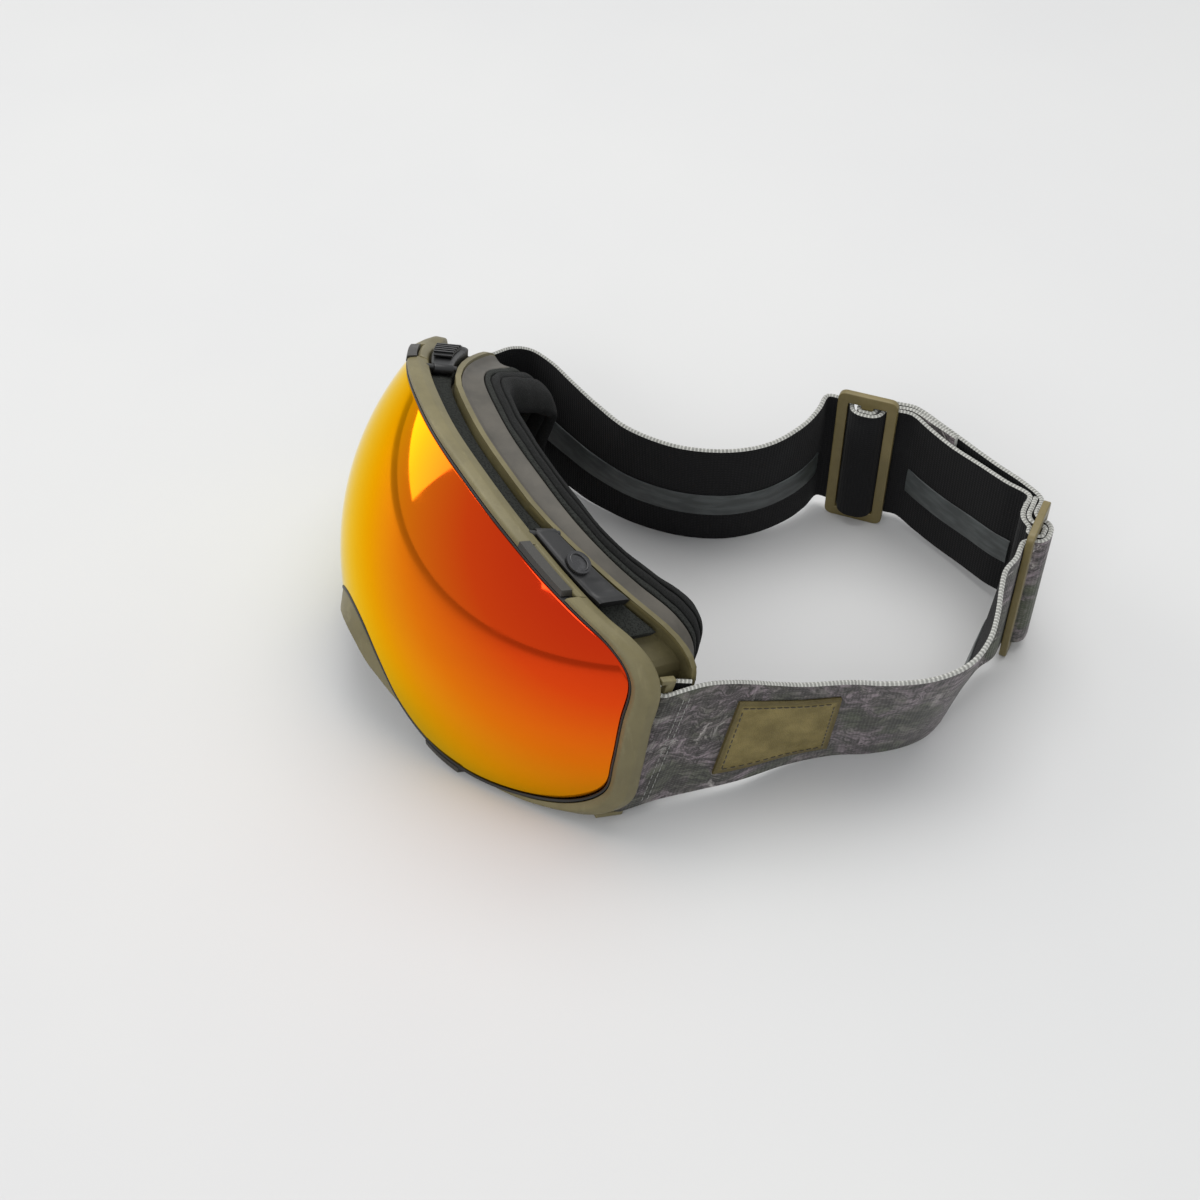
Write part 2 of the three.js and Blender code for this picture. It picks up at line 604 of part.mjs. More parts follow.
// in from the far side, once round the middle bar, and back as a sewn hem
function hook(f) {
  const half = SLIDER_BAR / 2;
  const hem = -OVER - LAYER - 0.1;
  const main = hem - LAYER - 0.1;
  const round = half + OVER - SLIDER_T / 2 + 0.15;
  return [
    [BAR_PITCH + 6, main - 0.15], [BAR_PITCH + 1, main], [BAR_PITCH - 3, main + 0.15],
    [half + 1.5, main + 1.3], [half - 0.3, -OVER - 1.0], [0, -OVER - 0.1],
    [-half - 0.5, -OVER + 0.1], [-round, -1.0], [-round, 1.0], [-half - 0.5, OVER - 0.1],
    [0, OVER], [half + 0.5, OVER - 0.1], [round, 1.0], [round + 0.1, -1.0],
    [half + 2.1, -OVER - 0.6], [BAR_PITCH - 3, hem + 0.1], [BAR_PITCH + 1, hem],
    [BAR_PITCH + 6, hem - 0.15],
  ].map(([u, n]) => f.at(u, n));
}

// sewn loop round a strap bar; starts at the hem and ends on the outer run
function anchorLoop(side, barY) {
  const half = SLIDER_BAR / 2;
  const o = ANCHOR_T / 2 + CLEAR + STRAP_T / 2;
  return [
    [8, 0.3], [5.6, -0.9], [3.3, -2.0], [0, -o - 0.1], [-half - 0.3, -o + 0.2],
    [-half - 1.4, -1.0], [-half - 1.4, 1.0], [-half - 0.3, o - 0.2], [0, o],
    [3, o + 0.1], [7, o + 0.2], [LOOP_RUN, o + 0.5],
  ].map(([u, v]) => [side * (ANCHOR_X + v), barY + u]);
}

const nearRoute = (barY) => [
  ...anchorLoop(1, barY),
  [87.6, -13], [89.8, -2], [91.2, 12], [94.2, 27], [98.8, 38], [101.6, 50], [101, 60], [97, 68.5],
  [90.5, 76.5], [84, 84], [79.6, 90],
  ...weave(NEAR_SLIDER),
  [48, 118.8], [36, 116.5], [24, 113.3], [12, 109.9],
  ...hook(FAR_SLIDER),
  [12, 107.7], [21, 110.2],
];

const farRoute = (barY) => [
  ...anchorLoop(-1, barY),
  [-86.8, -13.5], [-83.6, -5.5], [-75, 0], [-62, 4], [-49, 8], [-34, 15], [-20, 27], [-11.5, 41],
  [-9, 54], [-10.5, 67], [-14, 76],
  ...weave(FAR_SLIDER),
  [12, 105.6], [22, 108.3], [34, 111.2], [46, 113.7],
  ...hook(NEAR_SLIDER),
];

function routeLine(points) {
  const curve = new THREE.CatmullRomCurve3(
    points.map(([x, y]) => new THREE.Vector3(x, y, 0)), false, 'centripetal');
  const spans = points.length - 1;
  const line = [];
  for (let i = 0; i < spans; i += 1) {
    const [x0, y0] = points[i];
    const [x1, y1] = points[i + 1];
    const n = Math.ceil(Math.hypot(x1 - x0, y1 - y0) / 3);
    for (let k = 0; k < n; k += 1) line.push(curve.getPoint((i + k / n) / spans));
  }
  line.push(curve.getPoint(1));
  return line;
}

// The bars lean with the frame, and the band straightens up behind them.
function leanWith(g, barY) {
  const pos = g.attributes.position;
  for (let i = 0; i < pos.count; i += 1) {
    const share = 1 - smooth(barY + LOOP_RUN, barY + 4 * LOOP_RUN, pos.getY(i));
    pos.setY(i, pos.getY(i) + share * Math.tan(LEAN) * (pos.getZ(i) - STRAP_MID));
  }
  return g;
}

// A band that stands on edge along part of a route.
function ribbon(line, barY, offset, thickness, low, height, from = 0, to = Infinity) {
  const run = [0];
  for (let i = 1; i < line.length; i += 1) run.push(run[i - 1] + line[i].distanceTo(line[i - 1]));
  const end = Math.min(to, run[run.length - 1]);
  const at = (d) => {
    let i = 1;
    while (i < run.length - 1 && run[i] < d) i += 1;
    return line[i - 1].clone().lerp(line[i], (d - run[i - 1]) / (run[i] - run[i - 1]));
  };
  const stops = [from, ...run.filter((d) => d > from + 0.3 && d < end - 0.3), end];
  const pts = stops.map(at);
  const sides = [[], []];
  pts.forEach((p, i) => {
    const a = pts[Math.max(i - 1, 0)];
    const b = pts[Math.min(i + 1, pts.length - 1)];
    const t = b.clone().sub(a).normalize();
    for (const k of [0, 1]) {
      const o = offset + (k ? -0.5 : 0.5) * thickness;
      sides[k].push(new THREE.Vector2(p.x - t.y * o, p.y + t.x * o));
    }
  });
  const shape = new THREE.Shape([...sides[0], ...sides[1].reverse()]);
  const g = new THREE.ExtrudeGeometry(shape, { depth: height, bevelEnabled: false });
  g.translate(0, 0, low);
  return toSolid(leanWith(g, barY));
}

function lengthTo(line, x, y) {
  let run = 0;
  let best = Infinity;
  let where = 0;
  line.forEach((p, i) => {
    if (i) run += p.distanceTo(line[i - 1]);
    const gap = Math.hypot(p.x - x, p.y - y);
    if (gap < best) {
      best = gap;
      where = run;
    }
  });
  return where;
}

function makeStraps(parent, barY) {
  const near = routeLine(nearRoute(barY));
  const far = routeLine(farRoute(barY));
  mesh('strap_left', ribbon(near, barY, 0, STRAP_T, STRAP_FOOT, STRAP_WIDTH), CAMO, parent);
  mesh('strap_right', ribbon(far, barY, 0, STRAP_T, STRAP_FOOT, STRAP_WIDTH), CAMO, parent);
  const low = STRAP_FOOT + GRIP_RISE;
  const off = STRAP_T / 2 + CLEAR + GRIP_T / 2;
  const loop = lengthTo(near, ...anchorLoop(1, barY).at(-1));
  const grip = (name, line, side, a, b) => mesh(name,
    ribbon(line, barY, side * off, GRIP_T, low, GRIP_HEIGHT, a, b), SILICONE, parent);
  grip('grip_left', near, 1, loop + GRIP_START, lengthTo(near, ...weave(NEAR_SLIDER)[0]) - 4);
  grip('grip_right', far, -1, loop + GRIP_START, lengthTo(far, ...weave(FAR_SLIDER)[0]) - 4);
  grip('grip_back', far, -1, lengthTo(far, ...weave(FAR_SLIDER).at(-1)) + 3,
    lengthTo(far, ...hook(NEAR_SLIDER)[0]) - 3);
  const start = loop - LOOP_RUN + PATCH_START;
  const face = STRAP_T / 2 + CLEAR + PATCH_T / 2;
  mesh('strap_patch', ribbon(near, barY, -face, PATCH_T, STRAP_FOOT + PATCH_RISE, PATCH_HEIGHT,
    start, start + PATCH_LENGTH), LEATHER, parent);
}

// ---- sliders --------------------------------------------------------
function roundedRect(shape, x0, y0, x1, y1, r) {
  shape.moveTo(x0 + r, y0);
  shape.lineTo(x1 - r, y0);
  shape.absarc(x1 - r, y0 + r, r, -Math.PI / 2, 0);
  shape.lineTo(x1, y1 - r);
  shape.absarc(x1 - r, y1 - r, r, 0, Math.PI / 2);
  shape.lineTo(x0 + r, y1);
  shape.absarc(x0 + r, y1 - r, r, Math.PI / 2, Math.PI);
  shape.lineTo(x0, y0 + r);
  shape.absarc(x0 + r, y0 + r, r, Math.PI, 1.5 * Math.PI);
  return shape;
}

function makeSlider(name, f, parent) {
  const half = BAR_PITCH + SLIDER_BAR / 2;
  const top = STRAP_FOOT + STRAP_WIDTH + CLEAR + SLIDER_RAIL;
  const plate = roundedRect(new THREE.Shape(), -half, 0, half, top, 2.2);
  const g = new THREE.ExtrudeGeometry(plate, { depth: SLIDER_T, bevelEnabled: false, curveSegments: 4 });
  g.translate(0, 0, -SLIDER_T / 2);
  g.rotateX(Math.PI / 2);
  let solid = toSolid(g);
  for (const a of [SLIDER_BAR / 2, -BAR_PITCH + SLIDER_BAR / 2]) {
    solid = solid.subtract(box(a, a + SLIDER_SLOT, -SLIDER_T, SLIDER_T, SLIDER_RAIL, top - SLIDER_RAIL));
  }
  const m = mesh(name, solid, TAN, parent);
  m.position.set(f.x, f.y, 0);
  m.rotation.z = f.angle;
}

// ---- assembly -----------------------------------------------------------------------
const goggles = new THREE.Group();
const head = new THREE.Group();
goggles.add(head);
makeLens(head);
const headZ = makeFrontFrame(head);
makeRearFrame(head);
makeVentFoam(head);
makeFaceSide(head);
makeLevers(head);
head.rotation.x = -LEAN;
head.position.z = headZ;

makeStraps(goggles, BAR_Y / Math.cos(LEAN) + (STRAP_MID - headZ) * Math.tan(LEAN));
makeSlider('slider_left', NEAR_SLIDER, goggles);
makeSlider('slider_right', FAR_SLIDER, goggles);

// origin under the middle of the whole outline, on the table
goggles.updateMatrixWorld(true);
const extent = new THREE.Box3().setFromObject(goggles, true);
const middle = extent.getCenter(new THREE.Vector3());
goggles.position.set(-middle.x, -middle.y, -extent.min.z);

export default goggles;
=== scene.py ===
"""Ski goggles on a pale table: mirrored lens, moulded frame, foam and a printed strap loop."""
import math

import bmesh
import bpy
import numpy as np
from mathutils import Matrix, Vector


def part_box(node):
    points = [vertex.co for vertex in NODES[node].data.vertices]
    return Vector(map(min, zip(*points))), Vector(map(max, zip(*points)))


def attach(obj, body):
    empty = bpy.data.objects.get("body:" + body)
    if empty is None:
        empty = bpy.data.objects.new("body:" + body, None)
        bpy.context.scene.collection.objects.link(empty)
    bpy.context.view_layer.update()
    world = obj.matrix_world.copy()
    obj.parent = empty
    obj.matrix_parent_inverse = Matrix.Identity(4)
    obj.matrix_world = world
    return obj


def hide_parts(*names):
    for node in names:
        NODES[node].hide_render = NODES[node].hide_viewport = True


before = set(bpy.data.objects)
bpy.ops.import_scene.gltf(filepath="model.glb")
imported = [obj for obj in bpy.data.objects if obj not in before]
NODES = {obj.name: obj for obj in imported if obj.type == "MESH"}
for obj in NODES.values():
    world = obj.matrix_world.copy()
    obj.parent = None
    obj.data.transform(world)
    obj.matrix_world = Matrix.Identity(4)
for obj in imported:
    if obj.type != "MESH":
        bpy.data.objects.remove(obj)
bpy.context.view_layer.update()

MM = 0.001

# ---------------------------------------------------------------- camera and studio
scene = bpy.context.scene


def make_camera():
    lens = bpy.data.cameras.new("camera")
    lens.sensor_width = 36.0
    lens.lens = 51.0
    cam = bpy.data.objects.new("camera", lens)
    cam.location = (0.3685, -0.1894, 0.4210)
    cam.rotation_euler = (math.radians(90 - 45.5), 0.0, math.radians(65.86))
    scene.collection.objects.link(cam)
    scene.camera = cam


def area_light(name, at, aim, size, power, tint=(1.0, 1.0, 1.0)):
    lamp = bpy.data.lights.new(name, "AREA")
    lamp.shape = "RECTANGLE"
    lamp.size, lamp.size_y = size
    lamp.energy = power
    lamp.color = tint
    obj = bpy.data.objects.new(name, lamp)
    obj.location = at
    obj.rotation_euler = (Vector(aim) - Vector(at)).to_track_quat("-Z", "Y").to_euler()
    scene.collection.objects.link(obj)


def make_studio():
    world = bpy.data.worlds.new("studio")
    world.use_nodes = True
    sky = world.node_tree.nodes["Background"]
    sky.inputs["Color"].default_value = (0.96, 0.98, 1.0, 1.0)
    sky.inputs["Strength"].default_value = 0.72
    scene.world = world
    scene.view_settings.view_transform = "Standard"
    area_light("overhead_box", (-0.25, 0.25, 1.1), (0.0, 0.0, 0.0), (1.1, 0.9), 10.0, (1.0, 0.99, 0.97))
    area_light("front_box", (0.75, -0.75, 0.75), (0.0, -0.02, 0.05), (0.7, 0.5), 4.5)
    area_light("window_box", (-0.75, -0.7, 0.55), (0.0, -0.05, 0.05), (0.6, 0.8), 3.5, (1.0, 0.98, 0.95))


# ---------------------------------------------------------------- shader expressions
def operator(operation, swapped=False):
    """An arithmetic method that makes one math node."""
    def method(self, other):
        return self.math(operation, *((other, self) if swapped else (self, other)))
    return method


class Value:
    """A socket that takes part in Python arithmetic."""

    def __init__(self, finish, socket):
        self.finish, self.socket = finish, socket

    def math(self, operation, *inputs):
        return self.finish.node("ShaderNodeMath", {"operation": operation}, dict(enumerate(inputs)))

    __add__, __radd__ = operator("ADD"), operator("ADD", True)
    __sub__, __rsub__ = operator("SUBTRACT"), operator("SUBTRACT", True)
    __mul__, __rmul__ = operator("MULTIPLY"), operator("MULTIPLY", True)
    least = operator("MINIMUM")

    def sine(self):
        return self.math("SINE", self)

    def size(self):
        return self.math("ABSOLUTE", self)

    def between(self, low, high):
        """0 below low, 1 above high, smooth in between."""
        return self.finish.node("ShaderNodeMapRange", {"interpolation_type": "SMOOTHSTEP"}, {
            "Value": self, "From Min": low, "From Max": high, "To Min": 0.0, "To Max": 1.0})


class Finish:
    """One material: a Principled shader and the nodes that vary it."""

    def __init__(self, name, **fixed):
        self.material = bpy.data.materials.new(name)
        self.material.use_nodes = True
        self.tree = self.material.node_tree
        self.shader = self.tree.nodes["Principled BSDF"]
        for socket, value in fixed.items():
            self.shader.inputs[socket.replace("_", " ")].default_value = value

    def node(self, kind, settings=None, sockets=None, out=0):
        made = self.tree.nodes.new(kind)
        for key, value in (settings or {}).items():
            if key == "stops":
                ramp = made.color_ramp
                while len(ramp.elements) < len(value):
                    ramp.elements.new(0.5)
                for stop, (at, tint) in zip(ramp.elements, value):
                    stop.position, stop.color = at, (*tint, 1.0)
            else:
                setattr(made, key, value)
        for key, value in (sockets or {}).items():
            if isinstance(value, Value):
                self.tree.links.new(value.socket, made.inputs[key])
            elif isinstance(value, tuple) and len(value) == 3 and made.inputs[key].type == "RGBA":
                made.inputs[key].default_value = (*value, 1.0)
            else:
                made.inputs[key].default_value = value
        return Value(self, made.outputs[out])

    def feed(self, socket, value):
        self.tree.links.new(value.socket, self.shader.inputs[socket])

    def place(self):
        return self.node("ShaderNodeTexCoord", out="Object")

    def cloth(self):
        return self.node("ShaderNodeUVMap", {"uv_map": "cloth"})

    def parts(self, vector):
        made = self.tree.nodes.new("ShaderNodeSeparateXYZ")
        self.tree.links.new(vector.socket, made.inputs[0])
        return [Value(self, made.outputs[i]) for i in range(3)]

    def scaled(self, vector, factors):
        return self.node("ShaderNodeVectorMath", {"operation": "MULTIPLY"}, {0: vector, 1: factors})

    def shifted(self, vector, offset):
        return self.node("ShaderNodeVectorMath", {"operation": "ADD"}, {0: vector, 1: offset})

    def noise(self, vector, scale, detail=4.0, rough=0.55, warp=0.0, out="Fac"):
        return self.node("ShaderNodeTexNoise", None, {
            "Vector": vector, "Scale": scale, "Detail": detail, "Roughness": rough,
            "Distortion": warp}, out)

    def cells(self, vector, scale, feature="F1"):
        return self.node("ShaderNodeTexVoronoi", {"feature": feature}, {
            "Vector": vector, "Scale": scale, "Randomness": 1.0}, "Distance")

    def mix(self, share, a, b):
        return self.node("ShaderNodeMix", {"data_type": "RGBA"}, {0: share, 6: a, 7: b}, 2)

    def ramp(self, value, stops):
        return self.node("ShaderNodeValToRGB", {"stops": stops}, {"Fac": value})

    def relief(self, height, distance, strength=1.0):
        self.feed("Normal", self.node("ShaderNodeBump", None, {
            "Height": height, "Distance": distance, "Strength": strength}))


def colour(red, green, blue):
    """A display colour in 0 to 255 as the linear values that shaders use."""
    def linear(value):
        v = value / 255
        return v / 12.92 if v <= 0.04045 else ((v + 0.055) / 1.055) ** 2.4
    return (linear(red), linear(green), linear(blue))


# ---------------------------------------------------------------- goggle sizes
LENS_RADIUS = 97.6
HALF_WIDTH = 85.5
LENS_TOP = 48.5
LENS_BOTTOM = 43.0
LEAN = math.radians(17.4)
RIM_BACK = 7.6
RIM_IN = 1.5
RIM_OUT = 3.3
RIM_FLARE = 3.2
RIM_TUCK = 1.2
NOSE_LIP = 5.4
NOSE_PROUD = 1.5
LEDGE_REACH = 8.0
CARRIER_BACK = 6.2
LEDGE_AT = 6.5
RIDGE_AT = 15.8
RIDGE_BACK = 17.8
RIDGE_OUT = 0.8
FLANGE_AT = 18.1
FLANGE_BACK = 26.7
TEMPLE_TAPER, FACE_TAPER, CHEEK_TAPER, BROW_TAPER = 0.3, 0.8, 0.36, 0.12
TEMPLE_DEEPEN = 6.5
FLANGE_SHARE = 0.2
FOAM_OUT = 1.6
FOAM_IN = -10.4
TAB_DEPTH = 3.3
TOP_TAB = (47.0, 62.5)
LOW_TAB = (37.5, 49.0)
NOTCH_ROOM = 0.3
LEVER = (42.0, 65.0)
LEVER_LOW, LEVER_HIGH = -0.5, 2.9
LEVER_FRONT, LEVER_REAR = 8.2, 14.6
BADGE_X = 53.5
STRAP_WIDTH = 46.0
STRAP_T = 1.6
STRAP_FOOT = 4.6
STRAP_MID = 27.9
LOOP_RUN = 12.0

OUTLINE = [
    (0, 1), (0.257, 0.975), (0.526, 0.874), (0.76, 0.715), (0.889, 0.588),
    (0.959, 0.433), (0.988, 0.165), (1, -0.186), (0.982, -0.512), (0.901, -0.756),
    (0.76, -0.919), (0.608, -1), (0.468, -0.97), (0.339, -0.8), (0.222, -0.565),
    (0.105, -0.42), (0, -0.385),
]


def catmull(points, closed, per_span):
    """Centripetal Catmull-Rom curve through points, per_span samples a span."""
    p = np.asarray(points, float)
    count = len(p)
    if closed:
        idx = lambda i: p[i % count]
        spans = count
    else:
        first, last = 2 * p[0] - p[1], 2 * p[-1] - p[-2]
        idx = lambda i: first if i < 0 else last if i >= count else p[i]
        spans = count - 1
    out = []
    for i in range(spans):
        a, b, c, d = idx(i - 1), idx(i), idx(i + 1), idx(i + 2)
        da, db, dc = (max(np.linalg.norm(v), 1e-6) ** 0.5 for v in (b - a, c - b, d - c))
        t1 = ((b - a) / da - (c - a) / (da + db) + (c - b) / db) * db
        t2 = ((c - b) / db - (d - b) / (db + dc) + (d - c) / dc) * db
        steps = per_span(np.linalg.norm(c - b)) if callable(per_span) else per_span
        for k in range(steps):
            t = k / steps
            out.append(b * (2 * t**3 - 3 * t**2 + 1) + t1 * (t**3 - 2 * t**2 + t)
                       + c * (3 * t**2 - 2 * t**3) + t2 * (t**3 - t**2))
    if not closed:
        out.append(p[-1])
    return np.array(out)


def outline_points(per_span=15):
    right = [(fx * HALF_WIDTH, fz * (LENS_TOP if fz > 0 else LENS_BOTTOM)) for fx, fz in OUTLINE]
    left = [(-x, z) for x, z in right[-2:0:-1]]
    return catmull(right + left, True, per_span)


def unit(v):
    return v / np.maximum(np.linalg.norm(v, axis=-1, keepdims=True), 1e-9)


def smooth(low, high, v):
    t = np.clip((v - low) / (high - low), 0, 1)
    return t * t * (3 - 2 * t)


LINE = outline_points()
_along = np.roll(LINE, -1, 0) - np.roll(LINE, 1, 0)
LINE_OUT = unit(np.stack([-_along[:, 1], _along[:, 0]], 1))
if LINE_OUT[0, 1] < 0:
    LINE_OUT = -LINE_OUT


def lens_y(x, z):
    return -np.sqrt(np.maximum(LENS_RADIUS**2 - x**2 - z**2, 1))


def draw_in(p, depth):
    """How far the outline draws in behind the rim."""
    back = np.maximum(0, depth - RIM_BACK)
    side = smooth(0.35 * HALF_WIDTH, HALF_WIDTH, np.abs(p[:, 0]))
    cheek = smooth(0.2 * LENS_BOTTOM, 0.85 * LENS_BOTTOM, -p[:, 1])
    brow = smooth(0.4 * LENS_TOP, 0.9 * LENS_TOP, p[:, 1])
    inward = TEMPLE_TAPER * back + FACE_TAPER * np.maximum(0, depth - RIDGE_BACK)
    return (-np.sign(p[:, 0]) * side * inward, (cheek * CHEEK_TAPER - brow * BROW_TAPER) * back)


def deepen(p, depth):
    """The vents are deeper at the temples, and the flange behind them shallower."""
    side = smooth(0.3 * HALF_WIDTH, 0.9 * HALF_WIDTH, np.abs(p[:, 0]))
    vents = np.clip((depth - RIM_BACK) / (RIDGE_AT - RIM_BACK), 0, 1)
    flange = np.clip((depth - RIDGE_BACK) / (FLANGE_BACK - RIDGE_BACK), 0, 1)
    return side * TEMPLE_DEEPEN * (vents - (1 - FLANGE_SHARE) * flange)


def on_frame(p, n, out, depth, follow):
    """Goggle-frame points: out from the outline, depth behind the lens."""
    inset = np.minimum(out, 0) * follow
    y = lens_y(p[:, 0] + inset * n[:, 0], p[:, 1] + inset * n[:, 1]) + depth + deepen(p, depth)
    dx, dz = draw_in(p, depth)
    return np.stack([p[:, 0] + out * n[:, 0] + dx, y, p[:, 1] + out * n[:, 1] + dz], 1)


def row_shift():
    """The lens centre and the plan shift in the row frame, read from the model."""
    low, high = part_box("outer_lens")
    slider_low, slider_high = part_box("slider_left")
    x = (low.x + high.x) / 2 / MM
    y = (slider_low.y + slider_high.y) / 2 / MM - 109.0
    disc = np.stack([LINE[:, 0], lens_y(LINE[:, 0], LINE[:, 1]), LINE[:, 1]], 1)
    lowest = (-disc[:, 1] * math.sin(LEAN) + disc[:, 2] * math.cos(LEAN)).min()
    return np.array([x, y, low.z / MM - lowest])


CENTRE = row_shift()


def leaned(points):
    """Goggle frame in millimetres to row frame in metres."""
    c, s = math.cos(LEAN), math.sin(LEAN)
    x, y, z = np.asarray(points, float).T
    return (np.stack([x, y * c + z * s, -y * s + z * c], 1) + CENTRE) * MM


# ---------------------------------------------------------------- mesh making
def add_mesh(name, verts, faces, materials, slots=None, uv=None, flat=False):
    mesh = bpy.data.meshes.new(name)
    mesh.from_pydata([tuple(v) for v in verts], [], [tuple(f) for f in faces])
    for m in materials:
        mesh.materials.append(m)
    if slots is not None:
        mesh.polygons.foreach_set("material_index", np.asarray(slots, np.int32))
    if uv is not None:
        layer = mesh.uv_layers.new(name="cloth")
        loops = np.zeros(len(mesh.loops), np.int32)
        mesh.loops.foreach_get("vertex_index", loops)
        layer.data.foreach_set("uv", np.asarray(uv, np.float32)[loops].ravel())
    mesh.polygons.foreach_set("use_smooth", [not flat] * len(mesh.polygons))
    mesh.validate()
    mesh.update()
    obj = bpy.data.objects.new(name, mesh)
    scene.collection.objects.link(obj)
    return obj


def edited(obj, work):
    """Runs one piece of work on an object's mesh."""
    bm = bmesh.new()
    bm.from_mesh(obj.data)
    work(bm)
    bm.to_mesh(obj.data)
    bm.free()
    return obj


def face_out(obj):
    """Merges doubled points and turns the faces outwards."""
    def work(bm):
        bmesh.ops.remove_doubles(bm, verts=bm.verts, dist=1e-7)
        bmesh.ops.recalc_face_normals(bm, faces=bm.faces)
    return edited(obj, work)


def crisp(obj, degrees=32):
    """Smooth faces that stay sharp over folded edges."""
    limit = math.radians(degrees)

    def work(bm):
        for e in bm.edges:
            e.smooth = len(e.link_faces) != 2 or e.calc_face_angle(0.0) < limit
    return edited(obj, work)


def rolled(rows, around, closed_rows=False, closed_around=True):
    """Quads between consecutive rows of points, each row with that many points."""
    last = rows if closed_rows else rows - 1
    turn = around if closed_around else around - 1
    return [(i * around + j, (i + 1) % rows * around + j,
             (i + 1) % rows * around + (j + 1) % around, i * around + (j + 1) % around)
            for i in range(last) for j in range(turn)]


def soften(profile, radius, steps=3):
    """Rounds the corners of a closed profile of (out, depth, follow) rows."""
    rows = np.asarray(profile, float)
    radii = np.broadcast_to(radius, (len(rows),))
    out = []
    for i, corner in enumerate(rows):
        before, after = rows[i - 1], rows[(i + 1) % len(rows)]
        reach_b = min(radii[i], 0.42 * np.linalg.norm((before - corner)[:2]))
        reach_a = min(radii[i], 0.42 * np.linalg.norm((after - corner)[:2]))
        a = corner + (before - corner) * reach_b / max(np.linalg.norm((before - corner)[:2]), 1e-6)
        b = corner + (after - corner) * reach_a / max(np.linalg.norm((after - corner)[:2]), 1e-6)
        for k in range(steps + 1):
            t = k / steps
            out.append(a * (1 - t) ** 2 + corner * 2 * t * (1 - t) + b * t * t)
    return np.array(out)


def stations(marks=()):
    """Outline stations as fractional indices, with a close pair at each mark."""
    base = list(np.arange(len(LINE), dtype=float))
    for m in marks:
        base += [m - 0.02, m + 0.02]
    return np.array(sorted(base))


def line_at(index):
    i = np.floor(index).astype(int)
    t = (index - i)[:, None]
    a, b = i % len(LINE), (i + 1) % len(LINE)
    return LINE[a] * (1 - t) + LINE[b] * t, unit(LINE_OUT[a] * (1 - t) + LINE_OUT[b] * t)


def index_of(x, upper=True):
    """The fractional outline index where the upper or lower edge is at x."""
    side = LINE[:, 1] > 0 if upper else LINE[:, 1] <= 0
    best, miss = 0.0, 1e9
    for i in range(len(LINE)):
        j = (i + 1) % len(LINE)
        if not (side[i] and side[j]):
            continue
        x0, x1 = LINE[i, 0], LINE[j, 0]
        if (x0 - x) * (x1 - x) <= 0 and abs(x1 - x0) > 1e-9:
            return i + (x - x0) / (x1 - x0)
        if abs(x0 - x) < miss:
            best, miss = float(i), abs(x0 - x)
    return best


def sweep(name, index, section, material, closed=True, wobble=None):
    """A profile carried round the outline. section gives its rows at an outline point."""
    p, n = line_at(index)
    table = np.array([section(spot) for spot in p], float)
    rows = table.shape[1]
    grid = np.zeros((len(index), rows, 3))
    for j in range(rows):
        grid[:, j] = on_frame(p, n, table[:, j, 0], table[:, j, 1], table[:, j, 2])
    if wobble is not None:
        grid = wobble(grid)
    verts = leaned(grid.reshape(-1, 3))
    faces = rolled(len(index), rows, closed)
    if not closed:
        faces.append(tuple(range(rows)))
        faces.append(tuple(range((len(index) - 1) * rows, len(index) * rows))[::-1])
    return face_out(add_mesh(name, verts, faces, [material]))


# ---------------------------------------------------------------- finishes
def mirror_finish():
    f = Finish("mirror_lens", Metallic=1.0)
    f.shader.inputs["Specular Tint"].default_value = (1.0, 0.88, 0.42, 1.0)
    facing = f.shifted(f.place(), tuple(-CENTRE * MM))
    # Partly the coating's own yellow, orange and red, partly painted reflection: which colour falls where
    # follows how far the surface faces the fixed camera direction, so the shift the mirror shows with viewing
    # angle is painted on as seen from this camera.
    camera_direction = np.array([0.62, -0.27, 0.735])
    camera_direction = tuple(camera_direction / np.linalg.norm(camera_direction) / (LENS_RADIUS * MM))
    turn = f.node("ShaderNodeVectorMath", {"operation": "DOT_PRODUCT"}, {0: facing, 1: camera_direction}, "Value")
    drift = f.noise(f.place(), 9.0, 1.0, 0.4) - 0.5
    tint = f.ramp(turn + drift * 0.05, [
        (0.10, colour(240, 232, 160)), (0.22, colour(246, 220, 96)), (0.38, colour(248, 196, 48)),
        (0.54, colour(246, 164, 30)), (0.70, colour(240, 124, 18)), (0.86, colour(228, 72, 20)),
        (1.0, colour(210, 38, 22)),
    ])
    f.feed("Base Color", tint)
    smear = f.noise(f.scaled(f.place(), (1.0, 1.0, 3.0)), 60.0, 3.0)
    f.feed("Roughness", 0.05 + smear.between(0.45, 0.8) * 0.05)
    return f.material


def moulded(name, tint, dark, rough=0.46, grain=2600.0, lift=0.00003):
    """Satin moulded plastic: fine grain, faint mottling, handling marks."""
    f = Finish(name, Specular_IOR_Level=0.42)
    place = f.place()
    cloud = f.noise(place, 38.0, 4.0)
    rub = f.noise(f.scaled(place, (1.0, 2.6, 0.7)), 150.0, 5.0, 0.65).between(0.56, 0.74)
    grime = f.noise(place, 420.0, 3.0, 0.6).between(0.5, 0.72)
    base = f.mix(cloud.between(0.3, 0.75), dark, tint)
    base = f.mix(rub * 0.18, base, tuple(min(1.0, c * 1.5 + 0.02) for c in tint))
    f.feed("Base Color", f.mix(grime * 0.12, base, tuple(c * 0.6 for c in dark)))
    f.feed("Roughness", rough - rub * 0.10 + cloud * 0.08)
    f.relief(f.noise(place, grain, 2.0) + f.noise(place, grain * 0.3, 2.0) * 0.6, lift, 0.6)
    return f.material


